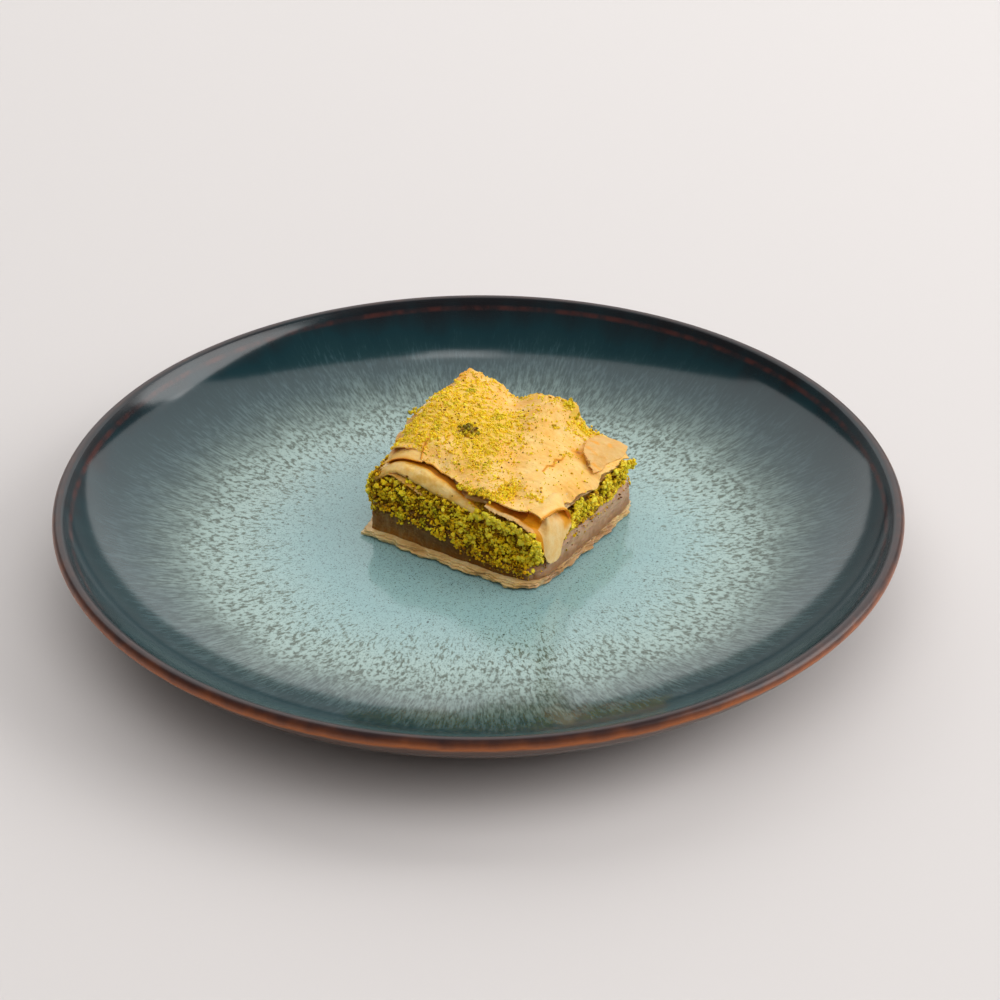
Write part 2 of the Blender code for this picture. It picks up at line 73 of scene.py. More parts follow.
# %% Helpers for finishes
class Finish:
    """A procedural material that is built up by short calls."""

    def __init__(self, name, roughness=0.5, **settings):
        self.material = bpy.data.materials.new(name)
        self.material.use_nodes = True
        self.nodes = self.material.node_tree.nodes
        self.links = self.material.node_tree.links
        self.shader = self.nodes["Principled BSDF"]
        self.place = self.node("ShaderNodeTexCoord").outputs["Object"]
        self.set(Roughness=roughness, **settings)

    def node(self, kind, inputs=(), **settings):
        made = self.nodes.new(kind)
        for key, value in settings.items():
            setattr(made, key, value)
        for key, value in dict(inputs).items():
            self.join(made.inputs[key], value)
        return made

    def join(self, socket, value):
        if isinstance(value, bpy.types.NodeSocket):
            self.links.new(value, socket)
        elif isinstance(value, tuple) and len(value) == 3 and socket.type == 'RGBA':
            socket.default_value = (*value, 1.0)
        else:
            socket.default_value = value

    def set(self, **sockets):
        for name, value in sockets.items():
            self.join(self.shader.inputs[name.replace("_", " ")], value)

    def painted(self, name):
        """A number that is stored at the corners of the mesh."""
        return self.node("ShaderNodeAttribute", attribute_name=name).outputs["Fac"]

    def upward(self, vector):
        """How far a vector points up."""
        return self.node("ShaderNodeSeparateXYZ", {0: vector}).outputs["Z"]

    def math(self, operation, *values):
        return self.node("ShaderNodeMath", dict(enumerate(values)), operation=operation).outputs[0]

    def times(self, *values):
        """The product of two numbers or more."""
        product = values[0]
        for value in values[1:]:
            product = self.math('MULTIPLY', product, value)
        return product

    def vector(self, operation, *values):
        made = self.node("ShaderNodeVectorMath", operation=operation)
        for number, value in enumerate(values):
            self.join(made.inputs["Scale" if operation == 'SCALE' and number == 1 else number], value)
        return made.outputs["Value" if operation in ('LENGTH', 'DOT_PRODUCT') else "Vector"]

    def mix(self, amount, first, second):
        """Mixes two colours. A mix node has its colours on sockets 6 and 7, and gives one on output 2."""
        made = self.node("ShaderNodeMix", data_type='RGBA', clamp_factor=True)
        for socket, value in ((0, amount), (6, first), (7, second)):
            self.join(made.inputs[socket], value)
        return made.outputs[2]

    def ramp(self, value, stops):
        """A colour for each value, from stops of (value, colour)."""
        made = self.node("ShaderNodeValToRGB", {"Fac": value})
        bar = made.color_ramp
        while len(bar.elements) < len(stops):
            bar.elements.new(1.0)
        for element, (place, colour) in zip(bar.elements, stops):
            element.position = place
            element.color = (*colour, 1.0)
        return made.outputs["Color"]

    def step(self, value, low, high, to_low=0.0, to_high=1.0):
        """Rises smoothly from to_low to to_high while value goes from low to high."""
        made = self.node("ShaderNodeMapRange", {0: value, 1: low, 2: high, 3: to_low, 4: to_high},
                         interpolation_type='SMOOTHSTEP')
        return made.outputs[0]

    def noise(self, place, scale, detail=2.0, rough=0.5, warp=0.0):
        made = self.node("ShaderNodeTexNoise", {"Vector": place, "Scale": scale, "Detail": detail,
                                                "Roughness": rough, "Distortion": warp})
        return made.outputs["Fac"]

    def stretched(self, scales, detail=2.0, rough=0.5):
        """Noise that is drawn out by its own scale along x, y and z."""
        return self.noise(self.vector('MULTIPLY', self.place, scales), 1.0, detail, rough)

    def bump(self, height, distance, strength):
        inputs = {"Height": height, "Distance": distance, "Strength": strength}
        return self.node("ShaderNodeBump", inputs).outputs["Normal"]


# %% Helpers for pieces
def clamp(value, low=0.0, high=1.0):
    """The value, held between low and high."""
    return min(max(value, low), high)


def deselect():
    """Leaves nothing selected, so that the next operator touches only its own piece."""
    if bpy.context.object and bpy.context.object.mode != 'OBJECT':
        bpy.ops.object.mode_set(mode='OBJECT')
    bpy.ops.object.select_all(action='DESELECT')


def close_ring(piece, picked):
    """Closes a ring of corners over with one corner in its middle. picked(corner) tells which ring."""
    bpy.ops.object.mode_set(mode='EDIT')
    bpy.ops.mesh.select_mode(type='VERT')
    bpy.ops.mesh.select_all(action='DESELECT')
    bpy.ops.object.mode_set(mode='OBJECT')
    for vert in piece.data.vertices:
        vert.select = picked(vert.co)
    bpy.ops.object.mode_set(mode='EDIT')
    bpy.ops.mesh.extrude_region_move()
    bpy.ops.mesh.merge(type='CENTER')
    bpy.ops.object.mode_set(mode='OBJECT')


def face_outward(angle):
    """Turns all faces of the active piece outward, and smooths the edges blunter than the angle."""
    bpy.ops.object.mode_set(mode='EDIT')
    bpy.ops.mesh.select_all(action='SELECT')
    bpy.ops.mesh.normals_make_consistent(inside=False)
    bpy.ops.object.mode_set(mode='OBJECT')
    bpy.ops.object.shade_smooth_by_angle(angle=math.radians(angle))


def dress(piece, name, finish):
    """Names a finished piece, gives it its material and slot, and ties it to the part's one body."""
    piece.name = name
    piece.data.name = name
    piece.data.materials.clear()
    piece.data.materials.append(finish.material)
    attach(piece, "root")
    faces = sum(len(p.vertices) - 2 for p in piece.data.polygons)
    print(name, faces, "triangles; its finish has", len(finish.nodes), "nodes")


# %% [markdown]
# The plate is turned on a wheel, so it is drawn as a potter pulls it: one ring of clay is drawn
# outwards and upwards to the lip, rolled over, and drawn down and in to the foot. Each step extrudes
# the ring and scales it to its new radius. A lathe modifier would do the same, but the rings show how
# the section is made of a flat well, a curved wall, a round lip and a foot.

# %% Plate: its half section
PLATE_RADIUS, PLATE_HEIGHT = 105.0, 24.0
LIP_RADIUS, LIP_SLOPE = 1.7, math.radians(51.0)
WELL_RADIUS, WELL_FLOOR = 60.0, 7.5
WALL_BEND, WALL_UNDERCUT = (93.0, 10.0), 22.0
FOOT_RADIUS, FOOT_WIDTH, FOOT_HEIGHT, FOOT_BEVEL = 64.0, 4.5, 2.5, 0.8
HUB_RADIUS, AROUND = 4.0, 256
WALL_PARTS, LIP_PARTS, UNDER_PARTS = 28, 18, 18


def curve_through(start, bend, end, parts):
    """Points of a curve with one bend, without its first."""
    found = []
    for step in range(1, parts + 1):
        t = step / parts
        s = 1.0 - t
        found.append(tuple(s * s * p + 2.0 * s * t * q + t * t * r for p, q, r in zip(start, bend, end)))
    return found


lip_x, lip_z = PLATE_RADIUS - LIP_RADIUS, PLATE_HEIGHT - LIP_RADIUS
lip_turns = [LIP_SLOPE + math.pi / 2.0 - math.pi * n / LIP_PARTS for n in range(LIP_PARTS + 1)]
lip_points = [(lip_x + LIP_RADIUS * math.cos(turn), lip_z + LIP_RADIUS * math.sin(turn))
              for turn in lip_turns]
under_bend = (lip_points[-1][0] - WALL_UNDERCUT * math.cos(LIP_SLOPE),
              lip_points[-1][1] - WALL_UNDERCUT * math.sin(LIP_SLOPE))
foot_inside = FOOT_RADIUS - FOOT_WIDTH
section = [(r, WELL_FLOOR) for r in (HUB_RADIUS, 20.0, 40.0, WELL_RADIUS)]
section += curve_through(section[-1], WALL_BEND, lip_points[0], WALL_PARTS)
section += lip_points[1:]
section += curve_through(lip_points[-1], under_bend, (FOOT_RADIUS, FOOT_HEIGHT), UNDER_PARTS)
section += [(FOOT_RADIUS - 0.3 * FOOT_BEVEL, 0.5), (FOOT_RADIUS - FOOT_BEVEL, 0.0), (foot_inside, 0.0),
            (foot_inside - 0.5 * FOOT_BEVEL, 0.6), (foot_inside - FOOT_BEVEL, FOOT_HEIGHT),
            (30.0, FOOT_HEIGHT), (HUB_RADIUS, FOOT_HEIGHT)]
print("plate section:", len(section), "rings, widest", max(x for x, z in section), "mm")

# %% Plate: pulled ring by ring
deselect()
bpy.ops.mesh.primitive_circle_add(vertices=AROUND, radius=HUB_RADIUS * MM,
                                  location=(0.0, 0.0, WELL_FLOOR * MM))
plate = bpy.context.active_object
bpy.ops.object.transform_apply(location=True)
bpy.ops.object.mode_set(mode='EDIT')
bpy.ops.mesh.select_all(action='SELECT')
for (x, z), (next_x, next_z) in zip(section, section[1:]):
    bpy.ops.mesh.extrude_region_move(TRANSFORM_OT_translate={"value": (0.0, 0.0, (next_z - z) * MM)})
    bpy.ops.transform.resize(value=(next_x / x, next_x / x, 1.0), center_override=(0.0, 0.0, 0.0))
for end_height in (WELL_FLOOR, FOOT_HEIGHT):
    close_ring(plate, lambda corner: (math.hypot(corner.x, corner.y) < (HUB_RADIUS + 1.0) * MM
                                      and abs(corner.z / MM - end_height) < 0.1))
face_outward(50.0)

# %% [markdown]
# The glaze is a reactive one. It is turquoise and finely specked in the well, breaks into pale mint
# with dark flecks, runs outwards in slate streaks, and ends nearly black before a rust-brown lip. All
# of it follows the radius, so the recipe turns each point into a radius and a direction. The noise
# reads the direction many times finer than the radius, and that draws it out into streaks.

# %% Reactive glaze: radius and direction
glaze = Finish("reactive_glaze", roughness=0.12)
flat = glaze.vector('MULTIPLY', glaze.place, (1.0 / MM, 1.0 / MM, 0.0))
radius = glaze.vector('LENGTH', flat)
heading = glaze.vector('NORMALIZE', flat)
height = glaze.math('DIVIDE', glaze.upward(glaze.place), MM)


def polar(around, along):
    """A place that repeats its noise every 1/around of a turn's arc and every 1/along millimetres."""
    turned = glaze.vector('SCALE', heading, around)
    out = glaze.node("ShaderNodeCombineXYZ", {"Z": glaze.times(radius, along)}).outputs[0]
    return glaze.vector('ADD', turned, out)


def swing(value, size):
    """Turns a noise around 0.5 into an offset of about plus or minus half the size."""
    return glaze.times(glaze.math('SUBTRACT', value, 0.5), size)


def by_radius(value, stops):
    """A colour for each radius: stops are (millimetres, colour)."""
    return glaze.ramp(glaze.math('DIVIDE', value, PLATE_RADIUS),
                      [(stop / PLATE_RADIUS, colour) for stop, colour in stops])


# %% Reactive glaze: pale and dark glaze by radius
drift = glaze.noise(polar(1.8, 0.02), 1.0, detail=2.0)
wander = glaze.noise(polar(12.0, 0.06), 1.0, detail=3.0)
ring = glaze.math('ADD', radius, glaze.math('ADD', swing(drift, 12.0), swing(wander, 8.0)))
# The pale ring is wider to the left and right of the photograph, and narrower towards the viewer
WIDER_SIDES, NARROWER_NEAR = -3.0, 3.0
sideways = glaze.vector('DOT_PRODUCT', heading, tuple(RIGHT))
nearer = glaze.math('MAXIMUM', glaze.vector('DOT_PRODUCT', heading, tuple(-AWAY)), 0.0)
for way, push in ((sideways, WIDER_SIDES), (nearer, NARROWER_NEAR)):
    ring = glaze.math('ADD', ring, glaze.times(way, way, push))
pale_glaze = by_radius(ring, (
    (0, (0.250, 0.420, 0.425)), (38, (0.262, 0.432, 0.435)), (50, (0.318, 0.472, 0.460)),
    (59, (0.350, 0.480, 0.445)), (67, (0.285, 0.392, 0.356)), (74, (0.155, 0.228, 0.210)),
    (81, (0.072, 0.124, 0.125)), (88, (0.030, 0.068, 0.079)), (95, (0.010, 0.036, 0.044)),
    (101, (0.008, 0.010, 0.014))))
dark_glaze = by_radius(ring, (
    (0, (0.160, 0.260, 0.240)), (45, (0.120, 0.180, 0.145)), (56, (0.085, 0.120, 0.085)),
    (67, (0.055, 0.085, 0.062)), (76, (0.026, 0.056, 0.048)), (84, (0.012, 0.042, 0.046)),
    (95, (0.005, 0.026, 0.033)), (101, (0.008, 0.008, 0.010))))

# %% Reactive glaze: flecks and streaks
# Where the noise is above this limit, the dark glaze shows; the limit falls towards the rim
DARK_LIMIT = ((34, 0.78), (43, 0.63), (54, 0.56), (64, 0.53), (76, 0.49), (86, 0.44), (98, 0.25))
blobs = glaze.noise(polar(66.0, 0.62), 1.0, detail=3.0, rough=0.6, warp=0.3)
streaks = glaze.noise(polar(120.0, 0.30), 1.0, detail=3.0, rough=0.65)
drawn_out = glaze.step(ring, 64.0, 80.0)
pattern = glaze.mix(drawn_out, blobs, streaks)
limit = by_radius(ring, [(stop, (share, share, share)) for stop, share in DARK_LIMIT])
over = glaze.math('SUBTRACT', pattern, limit)
soft_edge = glaze.step(ring, 60.0, 84.0, 0.09, 0.17)
body = glaze.mix(glaze.step(glaze.math('DIVIDE', over, soft_edge), -1.0, 1.0), pale_glaze, dark_glaze)


# %% Reactive glaze: specks
def specks(scale, outer, inner, share):
    """Round specks, one in each cell of the given scale, in a share of the cells."""
    cells = glaze.node("ShaderNodeTexVoronoi", {"Vector": flat, "Scale": scale, "Randomness": 1.0})
    kept = glaze.node("ShaderNodeSeparateColor", {0: cells.outputs["Color"]}).outputs[0]
    dot = glaze.step(cells.outputs["Distance"], outer, inner)
    return glaze.times(dot, glaze.math('LESS_THAN', kept, share))


in_well = glaze.step(radius, 74.0, 52.0)
speck_ring = glaze.times(glaze.step(ring, 34.0, 42.0), glaze.step(ring, 58.0, 48.0))
# Kinds of specks: scale, outer and inner edge, share of cells, where, strength, colour
SPECKS = ((2.8, 0.44, 0.20, 0.75, in_well, 0.65, (0.115, 0.180, 0.160)),
          (1.8, 0.38, 0.18, 0.60, in_well, 0.75, (0.075, 0.120, 0.100)),
          (1.0, 0.24, 0.13, 0.45, in_well, 0.80, (0.040, 0.070, 0.055)),
          (0.55, 0.20, 0.12, 0.40, speck_ring, 0.80, (0.020, 0.038, 0.030)))
for scale, outer, inner, share, where, strength, colour in SPECKS:
    body = glaze.mix(glaze.times(specks(scale, outer, inner, share), where, strength), body, colour)
print("glaze without its lip:", len(glaze.nodes), "nodes")

# %% Reactive glaze: the lip
LIP_COLOURS = ((0.0, (0.070, 0.024, 0.009)), (0.35, (0.360, 0.092, 0.008)),
               (0.65, (0.180, 0.044, 0.008)), (1.0, (0.022, 0.009, 0.009)))
rust = glaze.noise(polar(24.0, 0.3), 1.0, detail=3.0)
red_line = glaze.times(glaze.step(radius, 99.9, 100.5), glaze.step(radius, 101.3, 100.7))
body = glaze.mix(glaze.times(red_line, glaze.step(rust, 0.35, 0.65, 0.1, 0.5)), body, (0.110, 0.026, 0.018))
low_lip = glaze.math('ADD', height, swing(rust, 1.6))
lip_colour = glaze.ramp(glaze.step(low_lip, 20.5, 24.2), LIP_COLOURS)
facing_down = glaze.step(glaze.upward(glaze.node("ShaderNodeNewGeometry").outputs["Normal"]), 0.10, -0.10)
for where in (glaze.step(radius, 102.4, 103.2), facing_down):
    body = glaze.mix(where, body, lip_colour)
glaze.set(Base_Color=body, Roughness=glaze.step(radius, 100.5, 103.0, 0.12, 0.34),
          Normal=glaze.bump(glaze.noise(flat, 0.12, detail=1.0), 0.0003, 0.12))
dress(plate, "plate_glazed", glaze)
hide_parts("plate")

# %% [markdown]
# The cake is not a box. Its four corners have unlike heights, its left side spreads, and every cut
# side waves a little. The CAD model gets that from a few functions of the plan, and the same functions
# are repeated here, in millimetres from the middle of the cake and from the floor of the plate's well.
# The pieces below only add finer detail to them, so they stay where the solids are.

# %% Cake: its outline
CAKE_Y = 12.4
HALF, CRUST_HALF = 24.7, 26.2
CORNER_CUT = {(1, -1): 2.4, (1, 1): 2.2, (-1, -1): 0.4, (-1, 1): 0.9}
LEFT_SPREAD, SPREAD_LENGTH = 2.6, 0.7


def wave(x, y, length, seed):
    """Smooth unevenness between -1 and 1 with bumps of the given length."""
    return noise.noise(Vector((x / length, y / length, seed)))


def plan_point(a, b, half, inset=0.0, seed=0.0, uneven=0.0, fray=0.0):
    """Maps a square of side 2 to the cake's outline. Fray adds the torn edge that only shows close up."""
    cut = CORNER_CUT[(1 if a > 0 else -1, 1 if b > 0 else -1)]
    reach = half - inset - cut * abs(a * b) ** 7
    x, y = a * reach, b * reach
    if a < 0.0:
        x += a * LEFT_SPREAD * math.tanh((b + 1.0) / SPREAD_LENGTH)
    edge = max(abs(a), abs(b))
    ripple = uneven * wave(x, y, 5.0, seed) * edge ** 4
    if fray:
        ripple += fray * (wave(x, y, 1.9, seed + 3.0) + 0.6 * wave(x, y, 0.8, seed + 6.0)) * edge ** 12
    return x * (1.0 + ripple / half), y * (1.0 + ripple / half)


def square_point(turn):
    """Walks round the square of side 2, anticlockwise from the front left corner."""
    side, part = divmod(turn % 1.0 * 4.0, 1.0)
    part = 2.0 * part - 1.0
    return ((part, -1.0), (1.0, part), (-part, 1.0), (-1.0, -part))[int(side) % 4]


def swell(x, y, swells):
    """Sum of soft rises and hollows, each given by its middle, its spreads and its height."""
    return sum(rise * math.exp(-0.5 * (((x - u) / wide) ** 2 + ((y - v) / deep) ** 2))
               for u, v, wide, deep, rise in swells)


def cake_place(x, y, height):
    """A point of the cake in the plate's frame, in metres."""
    return Vector((x, y + CAKE_Y, height + WELL_FLOOR)) * MM


print("front side from", [round(c, 1) for c in plan_point(-1, -1, HALF)], "to",
      [round(c, 1) for c in plan_point(1, -1, HALF)])

# %% Cake: heights of its layers
# Soft rises and hollows: middle, spreads in x and y, height
SOAKED_SWELLS = ((-11, -25, 9, 12, 2.6), (19, -25, 10, 8, -3.6))
NUT_SWELLS = ((-10, -18, 12, 8, 1.3), (24, -4, 6, 14, -2.8), (24, 22, 7, 8, -3.6),
              (-12, 10, 12, 12, 1.0), (17, -24, 8, 5, -1.4))
TOP_SWELLS = ((-1, 0, 13, 13, 2.4), (-24, 3, 9, 9, 3.0), (2.6, 25, 4.6, 12, 4.6), (-12, -16, 9, 6, 1.6),
              (-12, 27, 3.8, 8, -2.6), (13.5, 24, 3, 6, -1.0), (14, -12, 6, 8, 0.8))
FRONT_LEFT, FRONT_RIGHT, BACK_RIGHT, BACK_LEFT = 20.6, 20.2, 16.4, 25.4
CREASE_START, CREASE_END = Vector((-11.0, 24.0)), Vector((15.0, -22.0))
CREASE_WIDTH, CREASE_DEPTH = 2.4, 0.8


def soaked_roof(x, y):
    """Upper face of the soaked sheets."""
    return 8.1 + swell(x, y, SOAKED_SWELLS) + 0.25 * wave(x, y, 5.0, 2.0)


def nut_roof(x, y):
    """Upper face of the pistachio band."""
    return 17.2 + swell(x, y, NUT_SWELLS)


def top_height(x, y):
    """The pastry's upper face: four corners, soft swells and a crease."""
    along = clamp((x / HALF + 1.0) / 2.0)
    across = clamp((y / HALF + 1.0) / 2.0)
    front = FRONT_LEFT * (1.0 - along) + FRONT_RIGHT * along
    back = BACK_LEFT * (1.0 - along) + BACK_RIGHT * along
    height = front * (1.0 - across) + back * across + swell(x, y, TOP_SWELLS) + 0.45 * wave(x, y, 7.0, 5.0)
    crease_way = (CREASE_END - CREASE_START).normalized()
    off_crease = crease_way.cross(Vector((x, y)) - CREASE_START) / CREASE_WIDTH
    return height - CREASE_DEPTH * math.exp(-0.5 * off_crease ** 2)


def sheet_front(x):
    """Where the top sheet's front edge lies: far back on the left, near the side on the right."""
    return -HALF + 8.0 - 6.4 * (1.0 + math.tanh((x + 2.0) / 10.0)) / 2.0


# %% Cake: the top sheet's edges
def between(x, steps):
    """Reads a list of (place, value) steps, smoothly between them."""
    if x <= steps[0][0]:
        return steps[0][1]
    for (start, low), (end, high) in zip(steps, steps[1:]):
        if x <= end:
            part = (x - start) / (end - start)
            return low + (high - low) * part * part * (3.0 - 2.0 * part)
    return steps[-1][1]


# How much higher the top sheet lies at its back and front edges than the plain form, by x
BACK_TRIM = ((-27, 0.5), (-24.4, 0.2), (-20.7, -0.9), (-16, 0.2), (-12, 1.1), (-8.2, 1.4), (-5.2, 1.1),
             (-2.8, 0.5), (0.2, -0.8), (3.1, -0.8), (6.0, 0.9), (6.5, 0.8), (6.9, -1.4), (8.6, -1.4),
             (11.3, -0.5), (14.1, 0.0), (17.1, -0.3), (20, -0.6), (25, -0.8))
FRONT_TRIM = ((-27, -0.4), (-16, -0.7), (-12, -1.1), (-8, -1.6), (-4, -1.5), (0, -1.2), (4, -0.9),
              (8, -0.3), (12, 0.1), (16, 0.6), (20, 0.2), (25, 0.4))
BACK_REACH, FRONT_REACH = 5.5, 4.5


def sheet_height(x, y):
    """The top sheet's own height: the plain form, trimmed along its back and front edges."""
    back = between(x, BACK_TRIM) * math.exp(-((HALF - y) / BACK_REACH) ** 2)
    front = between(x, FRONT_TRIM) * math.exp(-((y - sheet_front(x)) / FRONT_REACH) ** 2)
    return top_height(x, y) + back + front


def inner_front(x):
    """Where the sheets below the top one end at the front."""
    return -HALF + 2.6 + 0.5 * wave(x, 0.0, 5.0, 9.0)


print("top height at the four corners:", [round(top_height(u, v), 1) for u, v in
                                          ((-24, -24), (24, -24), (24, 24), (-24, 24))])

# %% [markdown]
# Two builders make nearly all of the cake. A band is a tube of rings round the cake, closed over at
# both ends: a circle is extruded upwards once for each ring, and each corner is then moved to its place.
# A sheet is a grid that is moved to its place and given its thickness with Solidify. Both are shaped
# vertex by vertex afterwards, which is the nearest thing in code to modelling by hand.

# %% Builder: a band
def band(around, levels, place):
    """A closed tube: place(a, b, level) gives each corner in millimetres, level by level."""
    deselect()
    bpy.ops.mesh.primitive_circle_add(vertices=around, radius=1.0)
    piece = bpy.context.active_object
    bpy.ops.object.mode_set(mode='EDIT')
    bpy.ops.mesh.select_mode(type='VERT')
    bpy.ops.mesh.select_all(action='SELECT')
    for _ in range(levels - 1):
        bpy.ops.mesh.extrude_region_move(TRANSFORM_OT_translate={"value": (0.0, 0.0, 1.0)})
    close_ring(piece, lambda corner: corner.z > levels - 1.5)
    close_ring(piece, lambda corner: corner.z < 0.5)
    lids = {0: [], levels - 1: []}
    hubs = []
    for vert in piece.data.vertices:
        level = round(vert.co.z)
        if math.hypot(vert.co.x, vert.co.y) < 0.5:
            hubs.append((vert, level))
            continue
        a, b = square_point(math.atan2(vert.co.y, vert.co.x) / math.tau + 0.5)
        vert.co = cake_place(*place(a, b, level))
        if level in lids:
            lids[level].append(vert.co)
    for vert, level in hubs:
        vert.co = sum(lids[level], Vector()) / len(lids[level])
    face_outward(60.0)
    return piece


# %% Builder: a sheet
def sheet(across, along, place, thickness):
    """A thin sheet: a grid whose corners are moved to place(a, b), a and b from -1 to 1."""
    deselect()
    bpy.ops.mesh.primitive_grid_add(x_subdivisions=across, y_subdivisions=along, size=2.0)
    piece = bpy.context.active_object
    for vert in piece.data.vertices:
        vert.co = cake_place(*place(vert.co.x, vert.co.y))
    solid = piece.modifiers.new("thickness", 'SOLIDIFY')
    solid.thickness = thickness * MM
    solid.offset = -1.0
    bpy.ops.object.modifier_apply(modifier=solid.name)
    face_outward(60.0)
    return piece


def paint(piece, name, amount):
    """Stores a number at each corner for the material: amount(x, y, z) in the cake's millimetres."""
    layer = piece.data.attributes.new(name, 'FLOAT', 'POINT')
    for number, vert in enumerate(piece.data.vertices):
        x, y, z = vert.co / MM
        layer.data[number].value = amount(x, y - CAKE_Y, z - WELL_FLOOR)


# %% [markdown]
# Some sheets are too particular for a formula. They are laid through a few rows of points instead:
# smooth curves run along each row and from row to row, as through the control points of a surface.
# The last row is torn a little, because no sheet of pastry ends in a clean line.

# %% Builder: a sheet laid through points
def smooth_path(points, part):
    """A smooth curve through points, at part 0 to 1 of its way: each coordinate is a cubic."""
    spot = clamp(part) * (len(points) - 1)
    first = min(int(spot), len(points) - 2)
    t = spot - first
    before, start, end, after = (points[clamp(first + n, 0, len(points) - 1)] for n in (-1, 0, 1, 2))
    found = []
    for p, q, r, s in zip(before, start, end, after):
        found.append(q + 0.5 * t * (r - p + t * (2 * p - 5 * q + 4 * r - s + t * (3 * q - p - 3 * r + s))))
    return found


def laid_sheet(rows, across, along, thickness, seed, ripple=0.12, fray=0.25):
    """A sheet laid through rows of points. Its last row is a free edge, torn a little."""
    def place(a, b):
        part = (b + 1.0) / 2.0
        tear = wave(9.0 * a, 0.0, 0.30, seed) + 0.5 * wave(9.0 * a, 0.0, 0.11, seed + 2.0)
        torn = fray * tear * part ** 6
        guides = [smooth_path(row, (a + 1.0) / 2.0) for row in rows]
        x, y, z = smooth_path(guides, part)
        back_x, back_y, back_z = smooth_path(guides, part - 0.03)
        step = torn / max(math.dist((x, y, z), (back_x, back_y, back_z)), 0.05)
        z += ripple * wave(x, y + z, 3.0, seed + 5.0) + 0.3 * ripple * wave(x, y + z, 0.9, seed + 6.0)
        return x + step * (x - back_x), y + step * (y - back_y), z + step * (z - back_z)
    return sheet(across, along, place, thickness)


def join(pieces):
    """Joins pieces into the first one."""
    deselect()
    for piece in pieces:
        piece.select_set(True)
    bpy.context.view_layer.objects.active = pieces[0]
    bpy.ops.object.join()
    return pieces[0]


# %% [markdown]
# The bottom of the cake is crisp: a few leaves of pastry that baked dry on the tray, a little wider
# than the rest, with torn and slightly lifted edges. One slab would look like card, so it is four
# separate leaves, each with its own outline, and the lowest ones stick out most.

# %% Base crust: its finish
def pastry_finish(name, colours, grain_size, **settings):
    """Baked pastry: mottled between a few colours, a little see-through, with fine bumps."""
    made = Finish(name, roughness=0.42, Subsurface_Weight=0.35, Subsurface_Scale=0.0016,
                  Subsurface_Radius=(1.0, 0.55, 0.25), **settings)
    spots = made.vector('SCALE', made.place, 1.0 / (grain_size * MM))
    broad = made.noise(spots, 0.35, detail=4.0, rough=0.6)
    colour = made.ramp(broad, colours)
    fine = made.noise(spots, 2.2, detail=4.0, rough=0.65)
    made.colour = made.mix(made.step(fine, 0.35, 0.75, 0.0, 0.35), colour, colours[0][1])
    made.set(Base_Color=made.colour, Normal=made.bump(fine, 0.00012, 0.6))
    return made


CRUST_BROWN, CRUST_TAN, CRUST_CREAM = (0.48, 0.25, 0.075), (0.70, 0.45, 0.175), (0.84, 0.62, 0.31)
crust_finish = pastry_finish("crust_baked", [(0.30, CRUST_BROWN), (0.46, CRUST_TAN), (0.66, CRUST_CREAM)],
                             1.8)

# %% Base crust: four leaves
CRUST_LOW, CRUST_STEP, CRUST_LEAF, CRUST_OFF = 0.3, 0.42, 0.44, -0.7
CRUST_AROUND = 640
CRUST_DRAWN_IN = (0.35, 0.0, 0.25, 0.6)
# Rings of one leaf, from its underside round its edge to its upper side: rise, distance from the edge
LEAF_RINGS = ((0.0, 6.0), (0.0, 1.6), (0.0, 0.35), (0.1, 0.06), (0.5, 0.0), (0.9, 0.06), (1.0, 0.35),
              (1.0, 1.2), (1.0, 2.2), (1.0, 6.0))


def crust_leaf(number):
    """One leaf of the crust, counted from the lowest."""
    def place(a, b, level):
        rise, inset = LEAF_RINGS[level]
        broken = 1.8 * max(wave(a * CRUST_HALF, b * CRUST_HALF, 4.4, 71.0 + 2.3 * number) - 0.18, 0.0)
        x, y = plan_point(a, b, CRUST_HALF, inset + CRUST_DRAWN_IN[number] + broken,
                          11.0 + 0.35 * number, 1.3, 0.5)
        lift = 0.24 * wave(x, y, 7.0, 30.0 + number) + 0.09 * wave(x, y, 1.5, 40.0 + number)
        lift = max(lift + 0.04, -0.1) * math.exp(-inset / 1.4) * (number + 1) / len(CRUST_DRAWN_IN)
        return x + CRUST_OFF, y + CRUST_OFF, CRUST_LOW + CRUST_STEP * number + CRUST_LEAF * rise + lift
    return band(CRUST_AROUND, len(LEAF_RINGS), place)


crust = join([crust_leaf(number) for number in range(len(CRUST_DRAWN_IN))])


# %% Base crust: where the syrup browned it
def right_side(x, y):
    """0 on the front and left, 1 on the right side, where the crust and the sheets look browner."""
    return clamp((x + 0.35 * (y + 24.0) - 19.5) / 3.5) if x > 0.0 else 0.0


def crust_syrup(x, y, z):
    """How far the syrup has browned the crust: most on the right side, little at its far end."""
    far_end = clamp((y - 8.0) / 12.0)
    return right_side(x, y) * (0.7 + 0.8 * wave(x, y, 4.0, 130.0)) * (1.0 - 0.75 * far_end)


paint(crust, "syrupy", crust_syrup)
crust_finish.set(Base_Color=crust_finish.mix(crust_finish.painted("syrupy"), crust_finish.colour,
                                             (0.40, 0.215, 0.105)))
dress(crust, "base_crust_leaves", crust_finish)
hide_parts("base_crust")

# %% [markdown]
# Above it the sheets have drunk syrup. They no longer stand apart: the cut side is almost flat, brown
# and wet, with the sheets showing as fine level lines, light where one dried a little. The lines are
# both in the shape, as shallow grooves, and in the colour. Light goes a little way in, so the finish
# has subsurface scattering and a glossy coat.

# %% Soaked sheets
SOAKED_LEVELS, SOAKED_LOW, SOAKED_AROUND = 34, 1.7, 800
GROOVE_PITCH, GROOVE_DEPTH, ROUGH_DEPTH = 0.42, 0.09, 0.14


